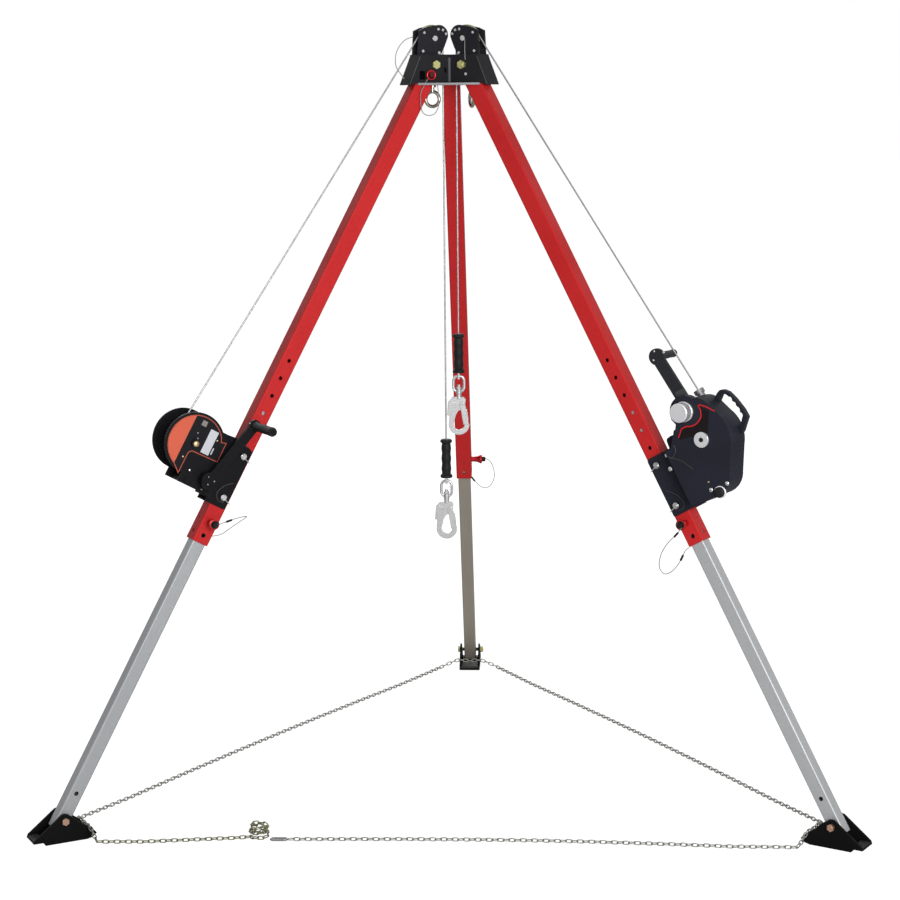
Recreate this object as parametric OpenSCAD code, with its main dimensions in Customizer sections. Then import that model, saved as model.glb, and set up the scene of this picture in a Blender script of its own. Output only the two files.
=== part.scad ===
// Rescue tripod with a hand winch, a self-retracting lifeline and a foot chain.
// Millimetres, Z up, floor at z = 0, front towards -Y.
// Legs are numbered 0 left, 1 right and 2 rear, as seen from the front.
// In a bay or leg frame X points outwards, Y runs sideways and Z runs up.

/* [Stance] */
// Tilt of an open leg from the vertical, degrees
leg_tilt = 29.65; // [24:0.05:34]
// Leg pivot to foot bolt along an open leg
leg_len = 2329; // [2100:1:2500]
// Leg pivot to tripod axis
pivot_r = 62; // [60:0.5:68]
// Swing of a leg from open to folded, degrees
fold_deg = 26; // [20:0.5:26]

/* [Legs] */
// Outer width of the square upper tube
upper_w = 50; // [46:1:54]
// Wall of the upper tube
upper_wall = 4.5; // [4:0.5:5]
// Play between the tubes, each side
tube_play = 0.5; // [0.3:0.1:0.7]
// Wall of the lower tube
lower_wall = 3; // [2.5:0.5:4]
// Outer corner radius of the tubes
tube_round = 4.5; // [3:0.5:5]
// Foot bolt to the open end of the upper tube
upper_end = 837; // [820:1:860]
// Drop of the rear tube end and adjusting pin below the other two
rear_drop = 28; // [0:1:40]
// Foot bolt to the top of the lower tube
lower_top = 1330; // [1300:1:1400]
// Foot bolt to the adjusting pin
pin_s = 900; // [890:1:930]
// Foot bolt to the storage hole of the lower tube
store_s = 78; // [74:1:110]
// Step of the rows of holes
hole_pitch = 54; // [50:1:58]
// Adjusting pin diameter
pin_d = 12; // [10:0.5:14]

/* [Feet] */
// Foot bolt height above the floor
bolt_z = 60; // [54:1:70]
// Foot bolt diameter
bolt_d = 12; // [10:0.5:14]
// Thickness of the foot plates
foot_t = 6; // [5:0.5:8]
// Foot bolt to the toe tip
toe_len = 88; // [82:1:96]
// Foot bolt to the heel end
heel_len = 89; // [84:1:96]

/* [Head] */
// Thickness of the head plates
plate_t = 6; // [5:0.5:7]
// Leg pivot bolt diameter
pivot_d = 14; // [12:0.5:16]
// Leg pivot to the head lock pin
lock_r = 30; // [28:0.5:32]
// Head lock pin diameter
lock_d = 8; // [6:0.5:9]
// Eye bolt ring, outer diameter
eye_d = 52; // [46:1:54]
// Eye bolt stock diameter
eye_wire = 10; // [8:0.5:12]

/* [Lines] */
// Wire rope diameter
cable_d = 5; // [4:0.5:6]
// Sheave pitch radius
sheave_r = 36; // [34:0.5:37]
// Sheave axle to tripod axis
sheave_x = 58; // [56:0.5:60]
// Height of the winch hand grip's top end
winch_hook_z = 1011; // [950:1:1100]
// Height of the lifeline hand grip's top end
srl_hook_z = 1319; // [1250:1:1400]

/* [Winch] */
// Foot bolt to the drum axle, along the leg
drum_s = 1075; // [1070:1:1090]
// Leg axis to the drum axle
drum_n = 154; // [152:1:160]
// Pitch radius of the wound rope
wind_r = 51; // [49:0.5:53]
// Turns in the wound layer
wind_turns = 10; // [8:1:10]
// Half width of the winch between its side plates
winch_half = 46; // [46:0.5:50]
// Gear module
gear_m = 2.5; // [2.4:0.02:2.5]
// Length of the crank arm
crank_len = 195; // [180:1:205]
// Length of the crank hand grip
crank_grip = 125; // [100:1:130]

/* [Lifeline] */
// Foot bolt to the spool axle, along the leg
spool_s = 1077; // [1070:1:1090]
// Leg axis to the spool axle
spool_n = 172; // [170:1:176]
// Pitch radius of the lifeline on its spool
spool_r = 40; // [39:0.5:42]
// Outer radius of the lifeline housing
case_r = 92; // [88:0.5:96]
// Foot bolt to the crank hub, along the leg
hub_s = 1166; // [1160:1:1170]
// Leg axis to the crank hub
hub_n = 168; // [164:1:172]
// Length of the folded crank
srl_crank_len = 171; // [165:1:180]

/* [Chain] */
// Width of a chain link
chain_w = 10; // [8:0.5:11]

/* [Hidden] */
$fn = 48;
leg_az = [210, 330, 90];
run = 0.05;
lower_w = upper_w - 2 * upper_wall - 2 * tube_play;
foot_r = pivot_r + leg_len * sin(leg_tilt);
pivot_z = bolt_z + leg_len * cos(leg_tilt);
foot_in = upper_w / 2 + 4;
foot_out = foot_in + foot_t;
centre_y = ((foot_r + heel_len) / 2 - foot_out * cos(30)) / 2;
bay_in = upper_w / 2 + 1;
bay_out = bay_in + plate_t;
top_extra = 10;
head_top = pivot_z + upper_w / 2 * sin(leg_tilt) + top_extra * cos(leg_tilt) + 1.5;
deck_z = head_top + plate_t;
web_z = pivot_z - 50;
base_z = web_z - plate_t;
rim_top = pivot_r + 48;
rim_low = pivot_r + 81;
base_r = pivot_r + 55;
sheave_z = deck_z + 44.5;
line_r = sheave_x - sheave_r;
cheek_in = 14;
cheek_out = 20;
pin_side = [1, -1, -1];
eye_az = [150, 30];
eye_turn = [58, -102];
eye_rho = [60, 70];
gear_n = 64;
pinion_n = 20;
pinion_a = gear_m * (gear_n + pinion_n) / 2;
crank_n = drum_n - pinion_a * cos(45);
crank_s = drum_s - pinion_a * sin(45);
crank_dir = 103.9;
frame_out = winch_half + plate_t;
arm_y = frame_out + 28;
bracket_in = upper_w / 2 + 0.3;
winch_base = 44;
flange_y = winch_half - 17;
wind_pitch = cable_d + 0.6;
wind_end = flange_y - 7;
wind_back = 7.5 - winch_half;
wind_gap = 0.5;
// a thicker rope lays fewer turns between the drum's flanges
wind_laid = min(wind_turns, floor((wind_end - wind_back - cable_d / 2 - wind_gap) / wind_pitch));
srl_dir = 96.4;
chain_in = 66;
toe_z = 14;
foot_top = 15;

function unit(v) = v / norm(v);
function drop(k) = k == 2 ? rear_drop : 0;
// the angle of the line that touches two circles on the same side
function touch(a, ra, b, rb, side) =
  let (d = b - a) atan2(d[1], d[0]) + side * acos((ra - rb) / norm(d));
// a point given by bay: outwards, sideways, up
function on_bay(k, r, t, z) =
  [r * cos(leg_az[k]) - t * sin(leg_az[k]), r * sin(leg_az[k]) + t * cos(leg_az[k]) - centre_y, z];
// the radius and height of a point given along and off a leg
function leg_rz(s, n) =
  [foot_r - s * sin(leg_tilt) + n * cos(leg_tilt), bolt_z + s * cos(leg_tilt) + n * sin(leg_tilt)];
// a normal carried from one direction to the next with no twist
function carried(v, a, b) =
  let (c = cross(a, b), s = norm(c), k = s < 1e-9 ? [0, 0, 1] : c / s, co = a * b)
  s < 1e-9 ? v : v * co + cross(k, v) * s + k * (k * v) * (1 - co);
function side_of(t) = unit(cross(t, abs(t[2]) < 0.8 ? [0, 0, 1] : [1, 0, 0]));
function frames(p) =
  let (n = len(p), t = [for (i = [0:n - 1]) unit(p[min(i + 1, n - 1)] - p[max(i - 1, 0)])])
  [for (i = 0, f = side_of(t[0]); i < n; f = i + 1 < n ? carried(f, t[i], t[i + 1]) : f, i = i + 1)
    [f, cross(t[i], f)]];

// a round tube swept along points
module tube(p, d, sides) {
  n = len(p);
  fr = frames(p);
  pts = [for (i = [0:n - 1]) for (j = [0:sides - 1])
    p[i] + d / 2 * (cos(360 * j / sides) * fr[i][0] + sin(360 * j / sides) * fr[i][1])];
  walls = [for (i = [0:n - 2]) for (j = [0:sides - 1]) for (h = [0, 1])
    let (a = i * sides + j, b = i * sides + (j + 1) % sides)
    h == 0 ? [a, a + sides, b] : [b, a + sides, b + sides]];
  start = [for (j = [0:sides - 1]) j];
  finish = [for (j = [sides - 1:-1:0]) (n - 1) * sides + j];
  polyhedron(points = pts, faces = concat([start], walls, [finish]), convexity = 8);
}

module stand() { translate([0, -centre_y, 0]) children(); }
module bay(k) { stand() rotate([0, 0, leg_az[k]]) children(); }
module leg_at(k) { bay(k) translate([foot_r, 0, bolt_z]) rotate([0, -leg_tilt, 0]) children(); }
// a slab between two sideways distances, drawn as outwards and up
module slab(y0, y1) { translate([0, y1, 0]) rotate([90, 0, 0]) linear_extrude(y1 - y0) children(); }
module pin_y(d, y0, y1) { translate([0, y0, 0]) rotate([-90, 0, 0]) cylinder(d = d, h = y1 - y0); }
module hex_y(d, y0, y1) { translate([0, y0, 0]) rotate([-90, 0, 0]) cylinder(d = d, h = y1 - y0, $fn = 6); }
// a turned piece on the sideways axis, drawn as radius and sideways distance
module turned_y(pts) { rotate([-90, 0, 0]) rotate_extrude() polygon(pts); }
module square_tube(w, wall, z0, z1) {
  c = w / 2 - tube_round;
  translate([0, 0, z0]) linear_extrude(z1 - z0) difference() {
    union() {
      square([w, 2 * c], center = true);
      square([2 * c, w], center = true);
      for (x = [-c, c]) for (y = [-c, c]) translate([x, y]) circle(r = tube_round);
    }
    square(w - 2 * wall, center = true);
  }
}
// the straight sides that touch two circles
module bridge(a, ra, b, rb) {
  p = touch(a, ra, b, rb, 1);
  q = touch(a, ra, b, rb, -1);
  polygon([a + ra * [cos(p), sin(p)], b + rb * [cos(p), sin(p)], b + rb * [cos(q), sin(q)],
    a + ra * [cos(q), sin(q)]]);
}

// Head
module bay_walls() {
  for (y = [-bay_out, bay_in])
    slab(y, y + plate_t)
      polygon([[12, web_z], [base_r, web_z], [rim_low, base_z], [rim_top, deck_z - 4],
        [rim_top, head_top + 1], [12, head_top + 1]]);
  slab(-bay_out, bay_out)
    polygon([[rim_top, deck_z - 4], [rim_low, base_z], [rim_low - 6.5, base_z], [rim_top - 6.5,
      head_top - 1],
      [rim_top - 6.5, deck_z - 4]]);
}
module head_frame() {
  color("#202022") difference() {
    union() {
      for (k = [0:2]) bay(k) {
        bay_walls();
        translate([0, -bay_out, head_top]) cube([rim_top, 2 * bay_out, plate_t]);
      }
    }
    for (k = [0:2]) {
      leg_at(k) translate([0, 0, leg_len]) pin_y(pivot_d + 0.2, -bay_out - 1, bay_out + 1);
      leg_at(k) translate([0, 0, leg_len - lock_r]) pin_y(lock_d + 2 * run, -bay_out - 1, bay_out + 1);
    }
    for (k = [0, 1]) bay(k) translate([line_r, 0, head_top - 1]) cylinder(d = 3 * cable_d, h = plate_t + 2);
  }
}
module base_plate() {
  color("#77777a") difference() {
    translate([0, 0, base_z]) linear_extrude(plate_t)
      polygon([for (k = [0, 1, 2]) for (m = [-1, 1])
        let (p = on_bay(k, base_r, m * bay_out, 0)) [p[0], p[1]]]);
    for (k = [0:2]) bay(k) translate([36, -bay_in, base_z - 1]) cube([200, 2 * bay_in, plate_t + 2]);
    for (k = [0, 1]) bay(k) translate([line_r, 0, base_z - 1]) cylinder(d = 3 * cable_d, h = plate_t + 2);
    for (i = [0, 1]) stand() rotate([0, 0, eye_az[i]]) translate([eye_rho[i], 0, base_z - 1])
      cylinder(d = 12, h = plate_t + 2);
  }
}
module eye_bolts() {
  color("#b9bcc0") for (i = [0, 1])
    stand() rotate([0, 0, eye_az[i]]) translate([eye_rho[i], 0, base_z]) rotate([0, 0, eye_turn[i]]) union() {
      translate([0, 0, -8 - eye_d / 2 - 5]) rotate([90, 0, 0]) rotate_extrude()
        translate([(eye_d - eye_wire) / 2, 0]) circle(d = eye_wire);
      translate([0, 0, -19]) cylinder(d = 12, h = 19 + plate_t + 14);
      translate([0, 0, -6]) cylinder(d = 22, h = 6);
      translate([0, 0, plate_t]) cylinder(d = 22, h = 10, $fn = 6);
    }
}
cheek_pins = [[96, 9.2], [45, 4.6]];
cheek_rivets = [[46, 70], [32, 68], [22, 57.4], [90.5, 60]];
module cheek() {
  difference() {
    translate([0, deck_z]) polygon([[40, 0], [110, 0], [106, 66], [87.5, 74], [65, 79], [45, 82], [38, 81.6],
      [31.5, 79.6], [25, 75.5], [20, 70], [16.8, 64], [15, 57], [15.3, 49], [21.5, 33.7], [28, 19], [37, 2]]);
    translate([sheave_x, sheave_z]) circle(d = 12.1);
    for (q = cheek_pins) translate([q[0], deck_z + q[1]]) circle(d = 6.2);
    for (q = cheek_rivets) translate([q[0], deck_z + q[1]]) circle(d = 5.2);
  }
}
module pulley_cheeks() {
  color("#2a2a2c") for (k = [0, 1]) bay(k) {
    slab(cheek_in, cheek_out) cheek();
    slab(-cheek_out, -cheek_in) cheek();
  }
}
module sheave(k) {
  color("#8d8b3c") bay(k) translate([sheave_x, 0, sheave_z])
    turned_y([[6 + run, -9], [14, -9], [14, -7.5], [sheave_r + 2, -7.5], [sheave_r + 2, -cable_d / 2 - 3.5],
      [sheave_r - cable_d / 2 - 0.2, -1.8], [sheave_r - cable_d / 2 - 0.2, 1.8], [sheave_r + 2,
        cable_d / 2 + 3.5],
      [sheave_r + 2, 7.5], [14, 7.5], [14, 9], [6 + run, 9]]);
}
module head_fasteners() {
  color("#b8a05a") {
    for (k = [0:2]) leg_at(k) translate([0, 0, leg_len]) union() {
      pin_y(pivot_d, -bay_out - 14, bay_out + 1);
      hex_y(1.75 * pivot_d, bay_out, bay_out + 9);
      hex_y(1.75 * pivot_d, -bay_out - 11, -bay_out);
    }
    for (k = [0, 1]) bay(k) {
      translate([sheave_x, 0, sheave_z]) union() {
        pin_y(12, -cheek_out - 1, cheek_out + 1);
        pin_y(18, 9.3, cheek_in);
        pin_y(18, -cheek_in, -9.3);
        pin_y(15, cheek_out, cheek_out + 5);
        pin_y(15, -cheek_out - 5, -cheek_out);
      }
      for (q = cheek_pins) translate([q[0], 0, deck_z + q[1]]) union() {
        pin_y(6, -cheek_out - 1, cheek_out + 1);
        pin_y(8, cheek_out, cheek_out + 4);
        pin_y(8, -cheek_out - 4, -cheek_out);
      }
      for (q = cheek_rivets) for (m = [0, 1]) translate([q[0], 0, deck_z + q[1]]) mirror([0, m, 0]) union() {
        pin_y(5, cheek_in + 0.5, cheek_out + 1);
        pin_y(7.5, cheek_out, cheek_out + 2);
      }
    }
  }
}
module lock_pin(k) {
  color("#b01c22") leg_at(k) translate([0, 0, leg_len - lock_r]) union() {
    pin_y(lock_d, -bay_out - 7, bay_out + 2);
    pin_y(16, bay_out + 0.3, bay_out + 9);
    translate([0, bay_out + 6, -3]) rotate([90, 0, 0]) rotate_extrude() translate([12.5, 0]) circle(d = 5);
  }
}

// Legs
module upper_leg(k) {
  mounts = k == 0 ? winch_pins : k == 1 ? srl_pins : [];
  color("#a31f26") leg_at(k) difference() {
    square_tube(upper_w, upper_wall, upper_end - drop(k), leg_len + top_extra);
    translate([0, 0, leg_len]) pin_y(pivot_d + 2 * run, -upper_w, upper_w);
    translate([0, 0, leg_len]) lock_slot();
    for (i = [0:5]) translate([0, 0, 1128 + i * hole_pitch]) pin_y(11, -upper_w, upper_w);
    for (s = mounts) translate([0, 0, s]) pin_y(10.1, -upper_w, upper_w);
    translate([0, 0, pin_s - drop(k)]) {
      pin_y(pin_d + 2 * run, -upper_w, upper_w);
      translate([0, 0, -40]) pin_y(13, -upper_w, upper_w);
      translate([-upper_w, 0, -38]) rotate([0, 90, 0]) cylinder(d = 12, h = 2 * upper_w);
      translate([-upper_w, 0, 3]) rotate([0, 90, 0]) cylinder(d = 6, h = 2 * upper_w);
    }
  }
}
// the curved slot that lets the leg swing past its lock pin
module lock_slot() {
  r = lock_d / 2 + 0.4;
  slab(-upper_w, upper_w)
    polygon(concat([for (a = [-9:2:fold_deg + 9]) (lock_r + r) * [sin(a), -cos(a)]],
      [for (a = [fold_deg + 9:-2:-9]) (lock_r - r) * [sin(a), -cos(a)]]));
}
module lower_leg(k) {
  color("#a9a7a3") leg_at(k) difference() {
    square_tube(lower_w, lower_wall, -lower_w * 0.75, lower_top);
    pin_y(bolt_d + 0.2, -upper_w, upper_w);
    translate([0, 0, store_s]) pin_y(pin_d + 0.6, -upper_w, upper_w);
    for (i = [0:3]) translate([0, 0, pin_s - drop(k) + 2 * i * hole_pitch])
      pin_y(pin_d + 0.6, -upper_w, upper_w);
  }
}
module leg_pin(k) {
  y = upper_w / 2;
  color("#a81b22") leg_at(k) translate([0, 0, pin_s - drop(k)]) rotate([0, 0, pin_side[k] > 0 ? 0 : 180])
    turned_y([[0, y - upper_wall + 0.2], [pin_d / 2, y - upper_wall + 0.2], [pin_d / 2, y + 0.3], [8.5,
      y + 0.3],
      [8.5, y + 9], [10, y + 20], [14.5, y + 29], [14.5, y + 34], [8, y + 35], [8, y + 43], [6, y + 46],
        [0, y + 46]]);
}
module foot(k) {
  color("#242426") bay(k) translate([foot_r, 0, 0]) difference() {
    union() {
      for (y = [-foot_out, foot_in]) slab(y, y + foot_t) union() {
        translate([0, bolt_z]) circle(r = 20);
        polygon([[-toe_len, toe_z], [11 - toe_len, 4], [26 - toe_len, 0], [56, 0], [62, 9], [heel_len, 9],
          [heel_len - 3, 18], [13, bolt_z + foot_top], [-13, bolt_z + foot_top]]);
      }
      translate([25 - toe_len, -foot_out, 0]) cube([toe_len + 26, 2 * foot_out, foot_t]);
      slab(-foot_out, foot_out) polygon([[50, 0], [56, 0], [62, 9], [heel_len, 9], [heel_len - 2, 15],
        [59, 15], [53, foot_t], [50, foot_t]]);
      slab(-foot_out, foot_out) polygon([[26 - toe_len, 0], [11 - toe_len, 4], [-toe_len, toe_z],
        [4 - toe_len, 19], [15 - toe_len, 10], [26 - toe_len, foot_t]]);
    }
    translate([0, 0, bolt_z]) pin_y(bolt_d + 2 * run, -foot_out - 1, foot_out + 1);
  }
}
module foot_bolt(k) {
  color("#b8a05a") leg_at(k) union() {
    pin_y(bolt_d, -foot_out - 12, foot_out + 1);
    hex_y(1.75 * bolt_d, foot_out + 0.3, foot_out + 8);
    hex_y(1.75 * bolt_d, -foot_out - 10, -foot_out - 0.3);
  }
}

// Hand winch on the left leg
winch_pins = [977.5, 1103];
winch_bars = [[1128, 64], [974, 128]];
module winch_side() {
  difference() {
    union() {
      translate([drum_n, drum_s]) circle(r = 86);
      polygon([[winch_base + 6, 965], [152, 965], [152, drum_s], [98, 1137], [winch_base + 6, 1137]]);
    }
    translate([drum_n, drum_s]) circle(d = 16);
    translate([crank_n, crank_s]) circle(d = 16 + 2 * run);
    for (q = winch_bars) translate([q[1], q[0]]) circle(d = 10);
    for (q = [[134, 1004], [112, 1046]]) translate(q) circle(d = 5);
  }
}
module winch_frame() {
  color("#1d1d1f") leg_at(0) {
    slab(winch_half, frame_out) winch_side();
    slab(-frame_out, -winch_half) winch_side();
  }
}
module winch_bracket() {
  color("#19191b") leg_at(0) difference() {
    union() {
      for (y = [bracket_in, -bracket_in - 5]) slab(y, y + 5)
        polygon([[-20, 951], [-14, 948], [winch_base + 1, 948], [winch_base + 1, 1134], [-7, 1131], [-20,
          1125]]);
      translate([winch_base, -frame_out, 960]) cube([6, 2 * frame_out, 180]);
      translate([bracket_in, -bracket_in - 1, 960]) cube([5, 2 * bracket_in + 2, 160]);
    }
    for (s = winch_pins) translate([0, 0, s]) pin_y(10.1, -80, 80);
  }
}
module winch_drum() {
  f = flange_y;
  c = wind_r * cos(7.5) - cable_d / 2 - 0.2;
  color("#6d6f72") leg_at(0) translate([drum_n, 0, drum_s])
    turned_y([[8 + run, 4 - winch_half], [72, 4 - winch_half], [72, wind_back], [c, wind_back],
      [c, f - 3.5], [72, f - 3.5], [72, f], [c - 4, f], [c - 4, 10 - winch_half], [14, 10 - winch_half],
      [14, f], [8 + run, f]]);
}
// the wound rope: one layer, from the rear flange to where the rope leaves the drum
line_w = leg_rz(drum_s, drum_n);
line_s = leg_rz(spool_s, spool_n);
sheave_c = [sheave_x, sheave_z];
function leave_angle(c, r) =
  touch(c, r, sheave_c, sheave_r, -1);
wind_a = leave_angle(line_w, wind_r);
wind_steps = wind_laid * 24;
wind_pts = [for (i = [0:wind_steps])
  let (a = wind_a - (wind_steps - i) * 15, t = wind_end - (wind_steps - i) / 24 * wind_pitch)
  on_bay(0, line_w[0] + wind_r * cos(a), t, line_w[1] + wind_r * sin(a))];
module winch_winding() {
  color("#8f9296") tube(wind_pts, cable_d, 6);
  far = [for (i = [0:4:wind_steps]) for (j = [i + 14:wind_steps]) norm(wind_pts[i] - wind_pts[j])];
  echo(winding_least_gap = min(far) - cable_d);
}
function inv_deg(a) = (tan(a) - a * PI / 180) * 180 / PI;
// half the angle of an involute tooth at a radius
function half_tooth(n, r) =
  let (rp = gear_m * n / 2, rb = rp * cos(20))
  90 / n - 0.18 * 180 / (PI * rp) + inv_deg(20) - (r > rb ? inv_deg(acos(rb / r)) : 0);
module gear_2d(n) {
  rp = gear_m * n / 2;
  radii = [rp - 1.2 * gear_m, rp - 0.6 * gear_m, rp, rp + 0.5 * gear_m, rp + 0.95 * gear_m];
  polygon([for (i = [0:n - 1]) for (m = [-1, 1]) for (j = [0:4])
    let (r = radii[m < 0 ? j : 4 - j], a = i * 360 / n + m * half_tooth(n, r)) r * [cos(a), sin(a)]]);
}
module winch_gear() {
  color("#55575a") leg_at(0) translate([drum_n, 0, drum_s]) slab(flange_y, flange_y + 8) difference() {
    gear_2d(gear_n);
    circle(r = 52, $fn = 12);
  }
}
module winch_pinion() {
  color("#55575a") leg_at(0) translate([crank_n, 0, crank_s]) slab(flange_y - 1,
    flange_y + 9) difference() {
    gear_2d(pinion_n);
    rotate([0, 0, 90]) circle(d = 16.1, $fn = 6);
  }
}
module crank_arm_2d(len, w0, w1, r0, r1, dir) {
  rotate([0, 0, dir]) union() {
    circle(r = r0);
    translate([len, 0]) circle(r = r1);
    polygon([[0, -w0], [len, -w1], [len, w1], [0, w0]]);
  }
}
module winch_crank() {
  end = crank_len * [cos(crank_dir), sin(crank_dir)];
  color("#2c2c2f") leg_at(0) translate([crank_n, 0, crank_s]) union() {
    pin_y(16, 1 - frame_out, flange_y - 2);
    rotate([-90, 0, 0]) translate([0, 0, flange_y - 2]) rotate([0, 0, 90]) cylinder(d = 16, h = 12,
      $fn = 6);
    pin_y(16, flange_y + 10, arm_y + 12);
    pin_y(44, frame_out + 0.4, arm_y + 1);
    slab(arm_y, arm_y + 10) crank_arm_2d(crank_len, 15, 13, 25, 17, crank_dir);
    pin_y(26, arm_y + 9, arm_y + 13);
    translate([end[0], 0, end[1]]) pin_y(10, arm_y + 5, arm_y + crank_grip + 13);
    translate([end[0], 0, end[1]]) pin_y(15, arm_y + crank_grip + 11.3, arm_y + crank_grip + 14);
  }
}
module winch_grip() {
  end = crank_len * [cos(crank_dir), sin(crank_dir)];
  y0 = arm_y + 10.4;
  y1 = arm_y + crank_grip + 11;
  color("#1a1a1b") leg_at(0) translate([crank_n + end[0], 0, crank_s + end[1]])
    turned_y([[5 + run, y0], [11, y0], [13, y0 + 4], [12, y0 + 30], [12.6, (y0 + y1) / 2], [12, y1 - 30],
      [13, y1 - 6], [11, y1], [5 + run, y1]]);
}
module mount_pins(list) {
  for (s = list) for (m = [0, 180]) translate([0, 0, s]) rotate([0, 0, m]) union() {
    pin_y(10, lower_w / 2 + 0.6, bracket_in + 7);
    pin_y(19, bracket_in + 6, bracket_in + 9);
    pin_y(13, bracket_in + 8, bracket_in + 15);
  }
}
module winch_fasteners() {
  color("#c2c4c7") leg_at(0) {
    translate([drum_n, 0, drum_s]) union() {
      pin_y(16, -frame_out - 1, frame_out + 1);
      pin_y(22, flange_y + 0.3, winch_half);
      pin_y(22, -winch_half, 3.7 - winch_half);
      hex_y(27, frame_out, frame_out + 9);
      hex_y(27, -frame_out - 9, -frame_out);
    }
    for (q = winch_bars) translate([q[1], 0, q[0]]) union() {
      pin_y(10, -frame_out - 1, frame_out + 1);
      pin_y(16, -winch_half, winch_half);
      pin_y(16, frame_out, frame_out + 4);
      pin_y(16, -frame_out - 4, -frame_out);
    }
    for (q = [[134, 1004], [112, 1046]]) for (m = [0, 180])
      translate([q[0], 0, q[1]]) rotate([0, 0, m]) union() {
        pin_y(5, winch_half + 1, frame_out + 1);
        pin_y(10, frame_out, frame_out + 3);
      }
    mount_pins(winch_pins);
  }
}

// Self-retracting lifeline on the right leg
srl_pins = [954, 1076];
srl_web = 50;
case_left = srl_web + 6;
case_y0 = -28;
case_y1 = 8;
cover_y0 = -72;
cover_y1 = -46;
case_wall = 5;
spool_gap = 4;
spool_f = case_r - case_wall - spool_gap;
spool_c = [spool_n, spool_s];
hub_c = [hub_n, hub_s];
boss_c = [193, 1141];
boss_r = 49;
heel_c = [150, 985];
heel_r = 62;
// the outline of the lifeline case, drawn in by a distance
module case_2d(d, left) {
  translate(spool_c) circle(r = case_r - d);
  translate(heel_c) circle(r = heel_r - d);
  translate(boss_c) circle(r = boss_r - d);
  bridge(spool_c, case_r - d - 0.3, heel_c, heel_r - d - 0.3);
  bridge(spool_c, case_r - d - 0.3, boss_c, boss_r - d - 0.3);
  polygon([[left, 932 + d], [75, 929 + d], [103, 925 + d], [heel_c[0] - 10, heel_c[1] - heel_r + 2.5 + d],
    heel_c, spool_c, [spool_n - 72, 1095 - d], [left, 1095 - d]]);
}
module case_slab(y0, y1, d) {
  union() {
    slab(y0, y1) case_2d(d, case_left);
    slab(y0, y1) translate(spool_c) circle(r = case_r - d);
  }
}
// a frame on the lifeline where it leaves the case, with Z along the rope
module on_lifeline(t) {
  a = leave_angle(line_s, spool_r);
  foot_pt = line_s + spool_r * [cos(a), sin(a)] + t * [cos(a + 90), sin(a + 90)];
  bay(1) translate([foot_pt[0], 0, foot_pt[1]]) rotate([0, -a, 0]) children();
}
module srl_bracket() {
  color("#1b1b1d") leg_at(1) difference() {
    union() {
      for (y = [bracket_in, -bracket_in - 5]) slab(y, y + 5)
        polygon([[-22, 930], [-16, 928], [srl_web + 6, 928], [srl_web + 6, 1101], [-18, 1101], [-22,
          1096]]);
      translate([srl_web, -bracket_in - 1, 928]) cube([6, 2 * bracket_in + 2, 173]);
      translate([bracket_in, -bracket_in - 1, 934]) cube([5, 2 * bracket_in + 2, 160]);
    }
    for (s = srl_pins) translate([0, 0, s]) pin_y(10.1, -80, 80);
  }
}
module srl_housing() {
  color("#232325") difference() {
    leg_at(1) difference() {
      union() {
        case_slab(case_y0, case_y1, 0);
        slab(case_y0, case_y1) polygon([[case_left, 1090], [case_left, 1101], [58, 1122], [62, 1128],
          [75, 1130], [90, 1128], [98, 1121], [110, 1108], [120, 1080]]);
      }
      slab(case_y0 + 4, case_y1 + 1) translate(spool_c) circle(r = case_r - case_wall);
      translate([spool_n, 0, spool_s]) pin_y(16, case_y0 - 1, case_y0 + 5);
    }
    on_lifeline(40) cylinder(d = 2.4 * cable_d, h = 140);
  }
}
module srl_rear_cover() {
  color("#232325") leg_at(1) difference() {
    case_slab(case_y1, case_y1 + 6, 0);
    translate([spool_n, 0, spool_s]) pin_y(16, case_y1 - 1, case_y1 + 7);
  }
}
// the front cover: the case outline with a lobe round the crank hub and a trimmed shoulder
module cover_2d(d) {
  difference() {
    union() {
      case_2d(d, case_left + 6 + d);
      translate(hub_c) circle(r = 43 - d);
      bridge(spool_c, case_r - 20 - d, hub_c, 43 - d);
    }
    translate(d * [0.61, -0.79]) polygon([[spool_n - 90, 1095], [spool_n - 72, 1118], [spool_n - 54, 1132],
      [hub_n - 40, 1146], [hub_n - 48, 1170], [40, 1170], [40, 1095]]);
  }
}
disc_n = spool_n + 7;
module srl_front_cover() {
  color("#27272a") leg_at(1) difference() {
    union() {
      difference() {
        slab(cover_y0, cover_y1) cover_2d(0);
        slab(cover_y0 + 4, cover_y1 + 1) cover_2d(4);
      }
      difference() {
        slab(cover_y1 - 2, case_y0) case_2d(0, case_left);
        slab(cover_y1 - 3, case_y0 + 1) case_2d(4, case_left + 4);
        slab(cover_y1 - 3, case_y0 + 1) translate([40, 1137]) square([158, 100]);
      }
    }
    translate([hub_n, 0, hub_s]) pin_y(20 + 2 * run, cover_y0 - 1, cover_y0 + 5);
    translate([disc_n, 0, spool_s]) pin_y(12, cover_y0 - 1, cover_y0 + 5);
  }
}
module srl_spool() {
  c = spool_r - cable_d / 2 - 0.3;
  color("#7c7e81") leg_at(1) translate([spool_n, 0, spool_s])
    turned_y([[8 + run, -22], [spool_f, -22], [spool_f, -19], [c, -19], [c, 3.5], [spool_f, 3.5],
      [spool_f, 6.5], [33, 6.5], [33, -16], [8 + run, -16]]);
}
module srl_spring() {
  n = 7 * 24;
  edge = [for (i = [0:n]) [9 + 21 * i / n, i * 15]];
  color("#5c6066") leg_at(1) translate([spool_n, 0, spool_s]) slab(-14, 4)
    polygon(concat([for (e = edge) e[0] * [cos(e[1]), sin(e[1])]],
      [for (i = [n:-1:0]) (edge[i][0] + 0.9) * [cos(edge[i][1]), sin(edge[i][1])]]));
}
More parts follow.
